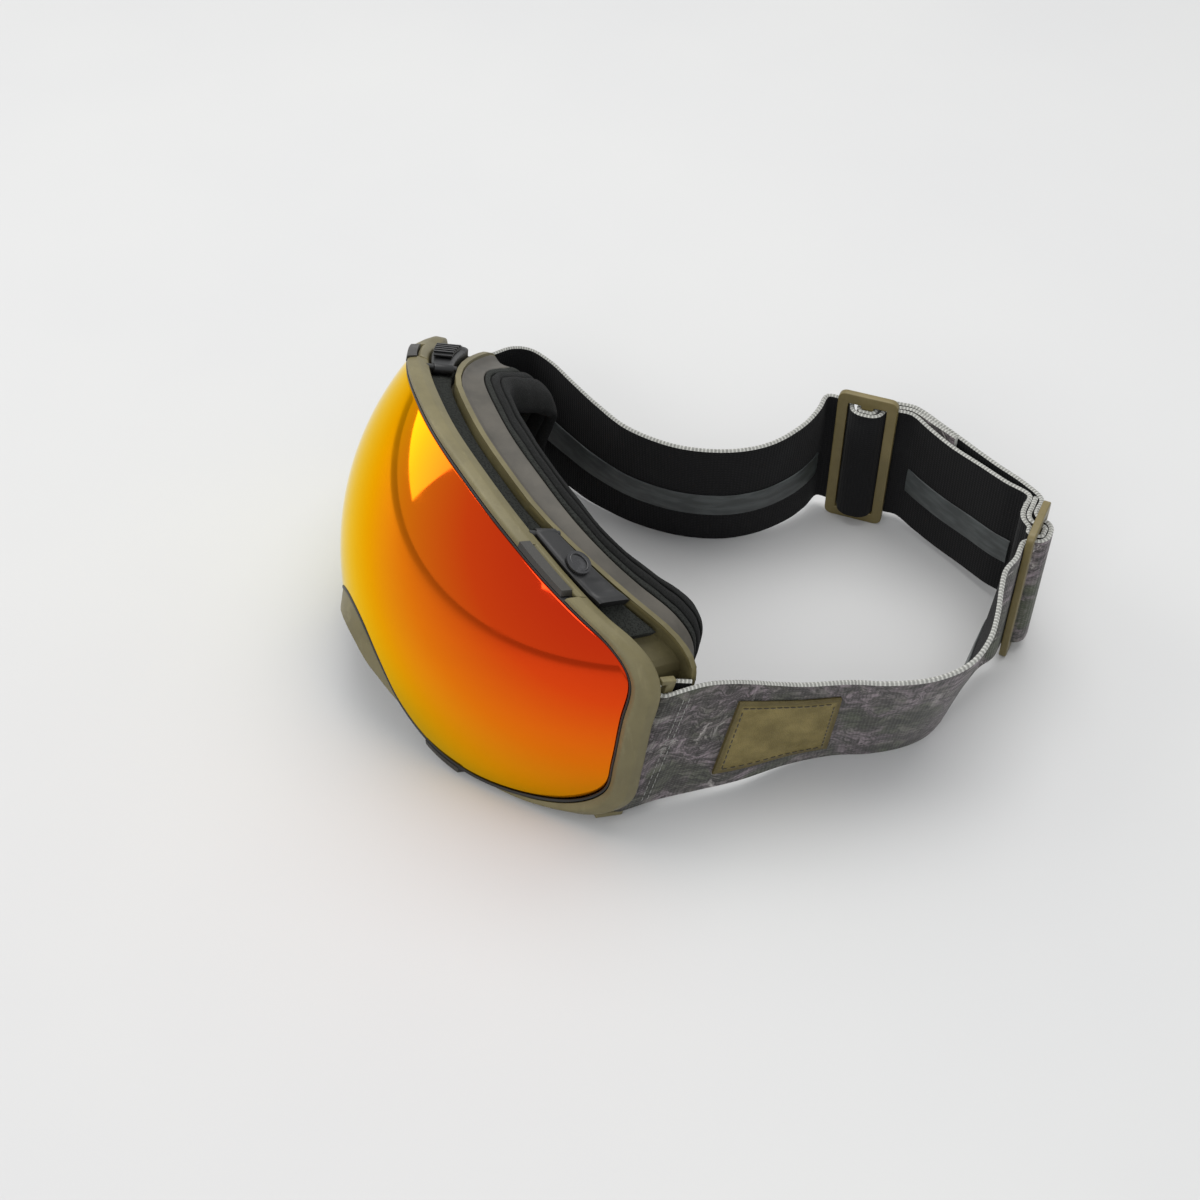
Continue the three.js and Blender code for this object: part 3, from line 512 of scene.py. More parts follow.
def open_foam(name, tint, scale=1500.0):
    """Open-cell foam: small pores painted darker as shade, in a soft matt body."""
    f = Finish(name, Roughness=0.96, Sheen_Weight=0.03, Sheen_Roughness=0.6, Specular_IOR_Level=0.2)
    f.shader.inputs["Sheen Tint"].default_value = (0.5, 0.5, 0.5, 1.0)
    place = f.place()
    pores = f.cells(place, scale)
    coarse = f.noise(place, scale * 0.35, 4.0, 0.7)
    depth = pores.between(0.15, 0.6) * 0.7 + coarse * 0.5
    # Painted shade: the colour darkens where the pore relief is low, as shade inside the pores.
    f.feed("Base Color", f.mix(depth, tuple(c * 0.35 for c in tint), tint))
    f.relief(depth, 0.00035, 0.9)
    return f.material


def fleece_finish():
    """Short brushed pile on the face of the foam."""
    f = Finish("brushed_fleece", Roughness=1.0, Sheen_Weight=0.05, Sheen_Roughness=0.5,
               Specular_IOR_Level=0.2)
    f.shader.inputs["Sheen Tint"].default_value = (0.42, 0.42, 0.43, 1.0)
    place = f.place()
    pile = f.noise(f.scaled(place, (1.0, 1.0, 0.6)), 2600.0, 4.0, 0.75)
    lay = f.noise(place, 260.0, 3.0, 0.6)
    lint = f.noise(place, 5200.0, 2.0, 0.5).between(0.66, 0.74)
    tone = f.mix(pile.between(0.3, 0.75), colour(12, 12, 12), colour(32, 33, 32))
    f.feed("Base Color", f.mix(lint * 0.35, tone, colour(96, 96, 96)))
    f.relief(pile * 0.6 + lay * 0.8, 0.0004, 0.9)
    return f.material


def soft_moulding():
    """Rubbery face flange with a dull bloom."""
    f = Finish("soft_flange", Specular_IOR_Level=0.35)
    place = f.place()
    bloom = f.noise(place, 60.0, 4.0, 0.6)
    fine = f.noise(place, 1900.0, 2.0)
    f.feed("Base Color", f.mix(bloom.between(0.3, 0.7), colour(66, 63, 57), colour(84, 80, 73)))
    f.feed("Roughness", 0.5 + bloom * 0.18)
    f.relief(fine, 0.00004, 0.6)
    return f.material


def gloss_black(name="lever_plastic", tone=(20, 20, 21), rough=0.44):
    f = Finish(name, Specular_IOR_Level=0.5)
    place = f.place()
    grain = f.noise(place, 2300.0, 2.0)
    wear = f.noise(place, 240.0, 4.0, 0.65).between(0.55, 0.75)
    f.feed("Base Color", f.mix(wear * 0.4, colour(*tone), tuple(c * 2.4 + 0.01 for c in colour(*tone))))
    f.feed("Roughness", rough + wear * 0.15)
    f.relief(grain, 0.00003, 0.5)
    return f.material


def knit_relief(along, across):
    """Height of elastic webbing: cross ribs with a finer lengthwise rib."""
    ribs = (along * (2 * math.pi / 0.00115)).sine()
    cords = (across * (2 * math.pi / 0.0009)).sine()
    return ribs * 0.5 + cords * 0.28 + ribs * cords * 0.3


def bark_print():
    """Printed face of the strap: grey bark and leaf litter in soft layers."""
    f = Finish("bark_webbing", Roughness=0.86, Sheen_Weight=0.12, Sheen_Roughness=0.5)
    cloth = f.cloth()
    along, across, _ = f.parts(cloth)
    sway = f.noise(cloth, 55.0, 3.0, out="Color")
    bent = f.node("ShaderNodeVectorMath", {"operation": "MULTIPLY_ADD"},
                  {0: sway, 1: (0.016, 0.016, 0.0), 2: cloth})
    bent = f.scaled(bent, (0.55, 0.55, 1.0))
    patches = f.noise(bent, 38.0, 4.0, 0.6)
    bark = f.noise(f.scaled(bent, (1.0, 2.2, 1.0)), 190.0, 8.0, 0.72, 1.4)
    ridges = f.noise(f.scaled(bent, (1.0, 1.9, 1.0)), 120.0, 6.0, 0.7, 2.2)
    curl = 1 - (ridges - 0.5).size() * 9
    leaf = f.cells(f.scaled(bent, (1.0, 1.4, 1.0)), 150.0)
    tone = f.ramp(patches, [
        (0.32, colour(46, 46, 42)), (0.42, colour(88, 90, 78)), (0.49, colour(134, 122, 128)),
        (0.56, colour(84, 86, 74)), (0.64, colour(142, 130, 134)), (0.74, colour(96, 92, 88)),
    ])
    tone = f.mix(bark.between(0.40, 0.56), f.mix(0.72, tone, colour(44, 42, 40)), tone)
    tone = f.mix(curl.between(0.25, 0.95) * 0.8, tone, colour(40, 38, 36))
    pale = f.noise(f.shifted(bent, (0.31, 0.17, 0.0)), 210.0, 7.0, 0.72, 1.0).between(0.55, 0.66)
    clump = f.noise(f.shifted(bent, (0.11, 0.57, 0.0)), 42.0, 2.0).between(0.44, 0.62)
    tone = f.mix(pale * clump, tone, colour(196, 190, 186))
    black = f.noise(f.shifted(bent, (0.71, 0.23, 0.0)), 95.0, 6.0, 0.7, 1.2).between(0.56, 0.63)
    tone = f.mix(black * clump * 0.85, tone, colour(22, 21, 22))
    moss = f.noise(f.shifted(bent, (0.43, 0.91, 0.0)), 34.0, 4.0).between(0.52, 0.6)
    tone = f.mix(moss * 0.6, tone, colour(66, 76, 52))
    tone = f.mix(leaf.between(0.02, 0.2) * -0.25 + 0.25, tone, colour(168, 158, 156))
    weave = knit_relief(along, across)
    # Painted shade: the print darkens in the low grooves of the knit relief.
    tone = f.mix(weave.between(-0.6, 0.7) * -0.22 + 0.22, tone, colour(30, 29, 29))
    f.feed("Base Color", tone)
    f.relief(weave, 0.00012, 0.8)
    return f.material


def black_webbing():
    """Unprinted inner face of the strap."""
    f = Finish("black_webbing", Roughness=0.93, Sheen_Weight=0.03, Sheen_Roughness=0.55,
               Specular_IOR_Level=0.25)
    cloth = f.cloth()
    along, across, _ = f.parts(cloth)
    weave = knit_relief(along, across)
    fuzz = f.noise(cloth, 2400.0, 3.0, 0.7)
    worn = f.noise(cloth, 40.0, 4.0)
    tone = f.mix(fuzz.between(0.35, 0.8), colour(7, 7, 8), colour(20, 20, 22))
    f.feed("Base Color", f.mix(worn.between(0.5, 0.8) * 0.3, tone, colour(36, 38, 39)))
    f.relief(weave + fuzz * 0.4, 0.00012, 0.8)
    return f.material


def cut_edge():
    """Pale bare yarn along the strap's edges."""
    f = Finish("webbing_edge", Roughness=0.95)
    cloth = f.cloth()
    along, _, _ = f.parts(cloth)
    bead = (along * (2 * math.pi / 0.0012)).sine()
    fuzz = f.noise(cloth, 900.0, 4.0, 0.7)
    f.feed("Base Color", f.mix(bead * 0.25 + fuzz * 0.6, colour(122, 122, 118), colour(214, 214, 208)))
    f.relief(bead + fuzz, 0.00018, 0.9)
    return f.material


def silicone_finish():
    f = Finish("silicone_bead", Specular_IOR_Level=0.55)
    cloth = f.cloth()
    flow = f.noise(f.scaled(cloth, (0.25, 1.0, 1.0)), 420.0, 3.0)
    pits = f.noise(cloth, 2600.0, 2.0)
    f.feed("Base Color", f.mix(flow.between(0.35, 0.7), colour(46, 50, 50), colour(70, 75, 75)))
    f.feed("Roughness", 0.3 + flow * 0.2)
    f.relief(flow + pits * 0.3, 0.0001, 0.6)
    return f.material


def leather_finish():
    f = Finish("patch_leather", Specular_IOR_Level=0.35)
    cloth = f.cloth()
    along, across, _ = f.parts(cloth)
    grain = f.cells(cloth, 1500.0, "DISTANCE_TO_EDGE")
    pebble = f.noise(cloth, 900.0, 4.0, 0.6)
    stain = f.noise(cloth, 90.0, 4.0, 0.6)
    side = 0.0175 - (along - 0.0175).size()
    rise = 0.0155 - (across - 0.0155).size()
    edge = 1 - side.least(rise).between(0.0006, 0.0022)
    tone = f.mix(stain.between(0.3, 0.72), colour(104, 92, 50), colour(136, 122, 74))
    tone = f.mix(edge * 0.6, tone, colour(58, 50, 28))
    creases = grain.between(0.02, 0.16)
    # Painted shade: the colour darkens along the grain creases, where the relief is low.
    f.feed("Base Color", f.mix(creases * -0.2 + 0.2, tone, colour(70, 60, 32)))
    f.feed("Roughness", 0.66 - pebble * 0.14)
    f.relief(creases * 0.7 + pebble * 0.5 - edge * 0.8, 0.00014, 0.8)
    return f.material


def thread_finish(name, tone):
    f = Finish(name, Roughness=0.82, Sheen_Weight=0.2)
    twist = f.noise(f.place(), 3600.0, 2.0)
    f.feed("Base Color", f.mix(twist, tuple(c * 0.55 for c in colour(*tone)), colour(*tone)))
    f.relief(twist, 0.00008, 0.8)
    return f.material


def clear_lens_finish():
    f = Finish("inner_lens_clear", IOR=1.49)
    haze = f.noise(f.place(), 25.0, 3.0)
    f.feed("Base Color", f.mix(haze, colour(168, 120, 84), colour(196, 150, 112)))
    f.feed("Roughness", 0.06 + haze * 0.05)
    f.feed("Alpha", 0.42 + haze * 0.1)
    return f.material


def table_top():
    f = Finish("table_top", Specular_IOR_Level=0.3)
    speck = f.noise(f.place(), 6.0, 3.0)
    f.feed("Base Color", f.mix(speck, colour(190, 190, 191), colour(196, 196, 195)))
    f.feed("Roughness", 0.62 + speck * 0.1)
    return f.material


MIRROR = mirror_finish()
TAN = moulded("frame_tan", colour(114, 106, 74), colour(94, 87, 59))
RIDGE_TAN = moulded("ridge_tan", colour(116, 107, 72), colour(96, 88, 57), 0.42)
SLIDER_TAN = moulded("slider_tan", colour(114, 102, 64), colour(92, 82, 48), 0.38, 1800.0)
TAB_GREY = moulded("tab_grey", colour(56, 54, 50), colour(40, 39, 36), 0.44)
GASKET = gloss_black("gasket_black", (18, 17, 17), 0.5)
LEVER_BLACK = gloss_black()
BADGE = gloss_black("badge_black", (38, 38, 40), 0.26)
TAUPE = soft_moulding()
VENT = open_foam("vent_foam", colour(38, 40, 37))
SPONGE = open_foam("sponge_foam", colour(40, 40, 40), 1100.0)
FLEECE = fleece_finish()
PRINT = bark_print()
BLACK_WEB = black_webbing()
EDGE_WEB = cut_edge()
SILICONE = silicone_finish()
LEATHER = leather_finish()
DARK_THREAD = thread_finish("dark_thread", (58, 50, 34))
GREY_THREAD = thread_finish("grey_thread", (150, 150, 146))
PIN_BLACK = gloss_black("pin_black", (34, 34, 34), 0.4)
CLEAR = clear_lens_finish()


# ---------------------------------------------------------------- lens
def make_lens():
    shares = np.concatenate([[0.0], np.linspace(0.06, 0.97, 26), [0.985, 0.994, 0.998]])
    front = [(r, 0.0) for r in shares]
    rim = [(1.0, 0.25), (1.0, 1.35)]
    rows = front + rim + [(r, 1.6) for r in shares[::-1]]
    count = len(LINE)
    grid = np.zeros((count, len(rows), 3))
    for j, (r, d) in enumerate(rows):
        x, z = LINE[:, 0] * r, LINE[:, 1] * r
        grid[:, j] = np.stack([x, lens_y(x, z) + d, z], 1)
    faces = rolled(count, len(rows), True, False)
    lens = face_out(add_mesh("mirror_shield", leaned(grid.reshape(-1, 3)), faces, [MIRROR]))
    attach(lens, "lens")
    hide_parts("outer_lens")
    carrier = soften([
        (0.25, -0.15, 0), (1.2, -0.2, 0), (1.2, CARRIER_BACK, 0), (0, CARRIER_BACK, 0),
        (-6, CARRIER_BACK, 1), (-6, CARRIER_BACK - 1.4, 1), (0, CARRIER_BACK - 1.4, 0),
        (0.25, CARRIER_BACK - 1.4, 0)], 0.3, 2)
    ring = sweep("lens_gasket", stations(), lambda p: carrier, GASKET)
    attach(ring, "lens")
    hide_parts("lens_carrier")
    paint_node("inner_lens", CLEAR)
    paint_node("lens_spacer", SPONGE)
    for hand in ("left", "right"):
        paint_node(f"lens_tab_top_{hand}", TAB_GREY, 0.0004)
        paint_node(f"lens_tab_low_{hand}", TAB_GREY, 0.0004)


def paint_node(name, material, bevel=0.0):
    obj = NODES[name]
    obj.data.materials.clear()
    obj.data.materials.append(material)
    if bevel:
        edge = obj.modifiers.new("edge", "BEVEL")
        edge.width = bevel
        edge.segments = 3
        edge.limit_method = "ANGLE"
        edge.angle_limit = math.radians(35)
    return obj


# ---------------------------------------------------------------- frame
def side_share(p):
    return smooth(0.8 * HALF_WIDTH, 0.97 * HALF_WIDTH, abs(p[0]))


def in_notch(p):
    inner, outer = TOP_TAB if p[1] > 0 else LOW_TAB
    return inner - NOTCH_ROOM < abs(p[0]) < outer + NOTCH_ROOM


def rim_section(p):
    w = side_share(p)
    nose = (1 - smooth(0.15 * HALF_WIDTH, 0.42 * HALF_WIDTH, abs(p[0]))) if p[1] < 0 else 0.0
    lip, proud = nose * NOSE_LIP, nose * NOSE_PROUD
    span = abs(p[0]) / HALF_WIDTH
    under = smooth(0.24, 0.40, span) * (1 - smooth(0.62, 0.86, span)) if p[1] < 0 else 0.0
    front = TAB_DEPTH + 0.3 if in_notch(p) else 2.4 * under
    lip = lip - 0.7 * under
    rows = [
        (RIM_IN, front, 0),
        (RIM_OUT - 0.4 + w + lip, front - proud, 0),
        (RIM_OUT + w * 1.4 + lip, front + 0.8 - proud, 0),
        (RIM_OUT + 0.2 + w * (RIM_FLARE - 0.4) + 0.9 * lip, max(RIM_BACK / 2, front + 1.2), 0),
        (RIM_OUT - RIM_TUCK + w * (RIM_FLARE + RIM_TUCK / 2) + 0.6 * lip, RIM_BACK, 0),
        (-LEDGE_REACH, RIM_BACK, 0),
        (-LEDGE_REACH, LEDGE_AT, 1),
        (0, LEDGE_AT, 0),
        (RIM_IN, LEDGE_AT, 0),
    ]
    return soften(rows, [0.25, 0.45, 0.5, 0.6, 0.7, 0.3, 0.3, 0.2, 0.2], 3)


def make_frame():
    marks = [index_of(side * (x + room), upper)
             for side in (1, -1) for tab, upper in ((TOP_TAB, True), (LOW_TAB, False))
             for x, room in zip(tab, (-NOTCH_ROOM, NOTCH_ROOM))]
    rim = crisp(sweep("front_rim", stations(marks), rim_section, TAN), 40)
    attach(rim, "frame")
    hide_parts("front_frame")
    strap_bars()
    ridge = soften([
        (-1.2, RIDGE_AT - 0.05, 0), (RIDGE_OUT + 0.15, RIDGE_AT - 0.05, 0),
        (RIDGE_OUT + 0.15, RIDGE_BACK + 0.05, 0), (-1.2, RIDGE_BACK + 0.05, 0)], 0.7, 4)
    trim = sweep("rear_ridge", stations(), lambda p: ridge, RIDGE_TAN)
    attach(trim, "frame")
    paint_node("rear_frame", TAN)
    make_vent_foam()


def soft_box(name, low, high, material, edge=0.5):
    """A box in the leaned frame with rounded edges."""
    corners = [(x, y, z) for x in (low[0], high[0]) for y in (low[1], high[1]) for z in (low[2], high[2])]
    faces = [(0, 1, 3, 2), (4, 6, 7, 5), (0, 4, 5, 1), (2, 3, 7, 6), (0, 2, 6, 4), (1, 5, 7, 3)]
    block = face_out(add_mesh(name, leaned(corners), faces, [material]))
    edited(block, lambda bm: bmesh.ops.bevel(
        bm, geom=bm.edges[:], offset=edge * MM, segments=3, profile=0.6, affect="EDGES"))
    block.data.polygons.foreach_set("use_smooth", [True] * len(block.data.polygons))
    return block


WEB_HALF = 24.0
WEB_ROOM = 1.5
BAR_REACH = 1.2
ARM_T = 1.8


def strap_bars():
    """The moulded bars behind the temples that the strap loops turn round."""
    middle = (STRAP_MID - CENTRE[2] + BAR_Y * math.sin(LEAN)) / math.cos(LEAN)
    half = WEB_HALF / math.cos(LEAN) + WEB_ROOM
    lens_at = lambda x, z: float(lens_y(np.array([x]), np.array([z]))[0]) + RIM_BACK - 0.6
    back = BAR_Y + BAR / 2
    for side, hand in ((1, "left"), (-1, "right")):
        pair = lambda a, b: (a, b) if side > 0 else (-b, -a)
        inner, outer = pair(ANCHOR_X - BAR_REACH, ANCHOR_X + BAR_REACH)
        start, end = pair(0.89 * HALF_WIDTH, ANCHOR_X + BAR_REACH)
        top_at, low_at = lens_at(0.985 * HALF_WIDTH, middle + half), lens_at(0.9 * HALF_WIDTH, middle - half)
        pieces = (
            ("strap_bar", (inner, BAR_Y - BAR / 2, middle - half - 1), (outer, back, middle + half + 1)),
            ("strap_arm_top", (inner, top_at, middle + half), (outer, back, middle + half + ARM_T)),
            ("strap_arm_low", (start, low_at, middle - half - ARM_T), (end, back, middle - half)),
        )
        for name, low, high in pieces:
            piece = soft_box(f"{name}_{hand}", low, high, TAN)
            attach(piece, "frame")


VENT_FRONT, VENT_BACK = 8.6, 14.8


def make_vent_foam():
    for name, upper in (("vent_foam_top", True), ("vent_foam_bottom", False)):
        ends = [index_of(0.86 * HALF_WIDTH, upper), index_of(-0.86 * HALF_WIDTH, upper)]
        lo, hi = min(ends), max(ends)
        if upper:
            lo, hi = hi, lo + len(LINE)
        index = np.linspace(lo, hi, 300)
        rows = soften([(-5.5, VENT_FRONT, 0), (-1.2, VENT_FRONT, 0), (-0.95, 11.7, 0),
                       (-1.2, VENT_BACK, 0), (-5.5, VENT_BACK, 0)], 0.7, 3)
        foam = sweep(name + "_cells", index, lambda p: rows, VENT, closed=False)
        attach(foam, "frame")
        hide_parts(name)


# ---------------------------------------------------------------- face side
def make_face_side():
    flange = soften([
        (-6, 22.4, 0), (FOAM_IN, FLANGE_BACK, 0), (FOAM_OUT - 0.1, FLANGE_BACK, 0),
        (0.2, 23.4, 0), (-0.5, 20.0, 0), (RIDGE_OUT - 0.1, FLANGE_AT, 0), (-8, FLANGE_AT, 0)],
        [0.8, 0.5, 0.9, 1.2, 0.8, 0.5, 0.5], 4)
    band = sweep("face_flange_band", stations(), lambda p: flange, TAUPE)
    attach(band, "frame")
    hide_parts("face_flange")
    shapes = {
        "foam_base": ([(FOAM_IN, 27.0), (FOAM_OUT, 27.0), (FOAM_OUT + 0.1, 28.0),
                       (FOAM_OUT - 0.1, 29.0), (FOAM_IN, 29.0)], 0.5, VENT, "foam_base_layer"),
        "foam_core": ([(FOAM_IN, 29.2), (FOAM_OUT - 0.2, 29.2), (FOAM_OUT + 0.4, 30.9),
                       (FOAM_OUT - 0.2, 32.5), (FOAM_IN, 32.5), (FOAM_IN - 0.4, 30.9)],
                      1.0, FLEECE, "foam_core_layer"),
        "foam_face": ([(FOAM_IN, 32.7), (FOAM_OUT, 32.7), (FOAM_OUT - 0.4, 34.6),
                       (FOAM_OUT - 2.6, 36.4), (-4.4, 36.8), (FOAM_IN + 2.6, 36.4),
                       (FOAM_IN + 0.5, 34.6)], 1.4, FLEECE, "foam_face_layer"),
    }
    for node, (rows, radius, material, name) in shapes.items():
        profile = soften([(o, d, 0) for o, d in rows], radius, 4)
        layer = sweep(name, stations(), lambda p: profile, material, wobble=foam_wobble(node))
        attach(layer, "frame")
        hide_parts(node)


def foam_wobble(node):
    """Soft unevenness along the foam, the same every run."""
    phase = {"foam_base": 0.4, "foam_core": 1.3, "foam_face": 2.2}[node]

    def move(grid):
        turn = np.linspace(0, 2 * np.pi, len(grid), endpoint=False)[:, None]
        swell = 0.12 * np.sin(turn * 23 + phase) + 0.08 * np.sin(turn * 41 + 2 * phase)
        middle = grid.mean(1, keepdims=True)
        away = unit(grid - middle)
        return grid + away * swell[:, :, None]
    return move


# ---------------------------------------------------------------- levers
def lever_rows(inner, outer):
    """Lever section that ends in a thumb lip."""
    def section(p):
        x = abs(p[0])
        t = (x - inner) / (outer - inner)
        lip = smooth(0.84, 0.95, t) * 0.5
        dish = smooth(0.66, 0.74, t) * (1 - smooth(0.86, 0.92, t)) * 0.4
        high = LEVER_HIGH + lip
        return soften([
            (LEVER_LOW, LEVER_FRONT, 0), (high - 0.5, LEVER_FRONT, 0), (high, LEVER_FRONT + 0.7, 0),
            (high - dish, (LEVER_FRONT + LEVER_REAR) / 2, 0), (high, LEVER_REAR - 0.7, 0),
            (high - 0.6, LEVER_REAR, 0), (LEVER_LOW, LEVER_REAR, 0)],
            [0.3, 0.4, 0.5, 1.2, 0.5, 0.4, 0.3], 3)
    return section


def round_bar(name, start, end, radius, material, edge=0.35, sides=36):
    """A round bar between two leaned-frame points, with rounded ends."""
    way = unit(end - start)
    a = unit(np.cross(way, [0.0, 0.0, 1.0]))
    b = np.cross(way, a)
    length = np.linalg.norm(end - start)
    stops = [(0.0, radius - edge), (0.3 * edge, radius - 0.3 * edge), (edge, radius)]
    stops += [(length - t, r) for t, r in stops[::-1]]
    verts = []
    for t, r in stops:
        for k in range(sides):
            turn = 2 * math.pi * k / sides
            verts.append(start + way * t + (a * math.cos(turn) + b * math.sin(turn)) * r)
    faces = rolled(len(stops), sides)
    faces.append(tuple(range(sides)))
    faces.append(tuple(range((len(stops) - 1) * sides, len(stops) * sides)))
    return crisp(face_out(add_mesh(name, leaned(verts), faces, [material])), 40)


BOSS_ENDS = (1.0, 6.8)
BOSS_RADIUS = 1.72


def make_levers():
    for side, hand in ((1, "left"), (-1, "right")):
        ends = sorted(index_of(side * x, True) for x in LEVER)
        if ends[1] - ends[0] > len(LINE) / 2:
            ends = [ends[1], ends[0] + len(LINE)]
        index = np.linspace(ends[0], ends[1], 90)
        lever = crisp(sweep(f"lever_{hand}", index, lever_rows(*LEVER), LEVER_BLACK, closed=False), 50)
        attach(lever, f"lever_{hand}")
        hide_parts(f"lock_lever_{hand}")
        p, n = line_at(np.array([index_of(side * LEVER[0], True)]))
        out = np.array([LEVER_LOW + 1.7])
        front, back = (on_frame(p, n, out, np.array([d]), 0)[0] for d in (RIM_BACK, RIDGE_AT))
        along = lambda depth: front + (back - front) * (depth - RIM_BACK) / (RIDGE_AT - RIM_BACK)
        boss = round_bar(f"lever_boss_{hand}", along(RIM_BACK + BOSS_ENDS[0]), along(RIM_BACK + BOSS_ENDS[1]),
                         BOSS_RADIUS, LEVER_BLACK)
        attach(boss, f"lever_{hand}")
        paint_node(f"lever_pin_{hand}", PIN_BLACK)
    paint_node("lever_badge_left", BADGE, 0.0002)
    oval_ring()
    paint_node("lever_pad_right", LEVER_BLACK, 0.00025)


def oval_ring():
    """Raised plain oval on the badge."""
    low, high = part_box("lever_badge_left")
    c, s = math.cos(LEAN), math.sin(LEAN)
    mid = (np.array(low) + np.array(high)) / 2 / MM - CENTRE
    mid = np.array([mid[0], mid[1] * c - mid[2] * s, mid[1] * s + mid[2] * c])
    i = index_of(BADGE_X, True)
    p, n = line_at(np.array([i]))
    q, _ = line_at(np.array([i + 1.0]))
    along = unit(np.array([q[0, 0] - p[0, 0], lens_y(q[:, 0], q[:, 1])[0] - lens_y(p[:, 0], p[:, 1])[0],
                           q[0, 1] - p[0, 1]]))
    up = np.array([n[0, 0], 0.0, n[0, 1]])
    across = unit(np.cross(up, along))
    verts = []
    turns, sides = 48, 8
    for a in np.linspace(0, 2 * np.pi, turns, endpoint=False):
        spot = mid + up * 0.38 + along * 3.0 * math.cos(a) + across * 2.3 * math.sin(a)
        outward = unit(along * math.cos(a) / 3.0 + across * math.sin(a) / 2.3)
        for b in np.linspace(0, 2 * np.pi, sides, endpoint=False):
            verts.append(spot + outward * 0.28 * math.cos(b) + up * 0.22 * math.sin(b))
    faces = rolled(turns, sides, True)
    ring = face_out(add_mesh("badge_oval", leaned(verts), faces, [BADGE]))
    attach(ring, "lever_left")


# ---------------------------------------------------------------- strap routes
OVER = 2.4 / 2 + 0.3 + STRAP_T / 2
LAYER = STRAP_T + 0.35
BAR = 3.0
PITCH = 9.0


class Slider:
    """Plan place of a strap slider and its local route points."""

    def __init__(self, x, y, degrees):
        self.x, self.y, self.angle = x, y, math.radians(degrees)
        self.u = np.array([math.cos(self.angle), math.sin(self.angle)])
        self.n = np.array([self.u[1], -self.u[0]])

    def at(self, rows):
        return [tuple(np.array([self.x, self.y]) + u * self.u + n * self.n) for u, n in rows]

    def weave(self):
        top, half, edge = OVER + LAYER, BAR / 2, PITCH - BAR / 2
        return self.at([
            (-PITCH - 6, -OVER - 0.3), (-PITCH - 1, -OVER - 0.1), (-edge - 0.1, -OVER),
            (-edge + 1.3, -OVER + 1.0), (-edge + 2.1, 0.6), (-edge + 2.9, 0.6 * top),
            (-half - 1.1, top - 0.3), (0, top), (half + 1.1, top - 0.3),
            (edge - 2.9, 0.6 * top), (edge - 2.1, 0.6), (edge - 1.3, -OVER + 1.0),
            (edge + 0.1, -OVER), (PITCH + 1.5, -OVER - 0.1), (PITCH + 6, -OVER - 0.3)])

    def hook(self):
        half = BAR / 2
        hem = -OVER - LAYER - 0.1
        main = hem - LAYER - 0.1
        turn = half + OVER - 1.2 + 0.15
        return self.at([
            (PITCH + 6, main - 0.15), (PITCH + 1, main), (PITCH - 3, main + 0.15),
            (half + 1.5, main + 1.3), (half - 0.3, -OVER - 1.0), (0, -OVER - 0.1),
            (-half - 0.5, -OVER + 0.1), (-turn, -1.0), (-turn, 1.0), (-half - 0.5, OVER - 0.1),
            (0, OVER), (half + 0.5, OVER - 0.1), (turn, 1.0), (turn + 0.1, -1.0),
            (half + 2.1, -OVER - 0.6), (PITCH - 3, hem + 0.1), (PITCH + 1, hem),
            (PITCH + 6, hem - 0.15)])


NEAR_SLIDER = Slider(70, 109, 130)
FAR_SLIDER = Slider(-5, 91, 45)
ANCHOR_X = HALF_WIDTH - 2.5
BAR_Y = float(lens_y(np.array([HALF_WIDTH]), np.array([0.0]))[0]) + RIM_BACK + 3.2 + BAR / 2
ANCHOR_Y = BAR_Y / math.cos(LEAN) + (STRAP_MID - CENTRE[2]) * math.tan(LEAN)


def anchor_loop(side):
    half, o = BAR / 2, OVER
    rows = [(8, 0.3), (5.6, -0.9), (3.3, -2.0), (0, -o - 0.1), (-half - 0.3, -o + 0.2),
            (-half - 1.4, -1.0), (-half - 1.4, 1.0), (-half - 0.3, o - 0.2), (0, o),
            (3, o + 0.1), (7, o + 0.2), (LOOP_RUN, o + 0.5)]
    return [(side * (ANCHOR_X + v), ANCHOR_Y + u) for u, v in rows]


LEFT_MID = [(87.6, -13), (89.8, -2), (91.2, 12), (94.2, 27), (98.8, 38), (101.6, 50), (101, 60),
            (97, 68.5), (90.5, 76.5), (84, 84), (79.6, 90)]
LEFT_BACK = [(48, 118.8), (36, 116.5), (24, 113.3), (12, 109.9)]
LEFT_HEM = [(12, 107.7), (21, 110.2)]
RIGHT_MID = [(-86.8, -13.5), (-83.6, -5.5), (-75, 0), (-62, 4), (-49, 8), (-34, 15), (-20, 27),
             (-11.5, 41), (-9, 54), (-10.5, 67), (-14, 76)]
RIGHT_BACK = [(12, 105.6), (22, 108.3), (34, 111.2), (46, 113.7)]


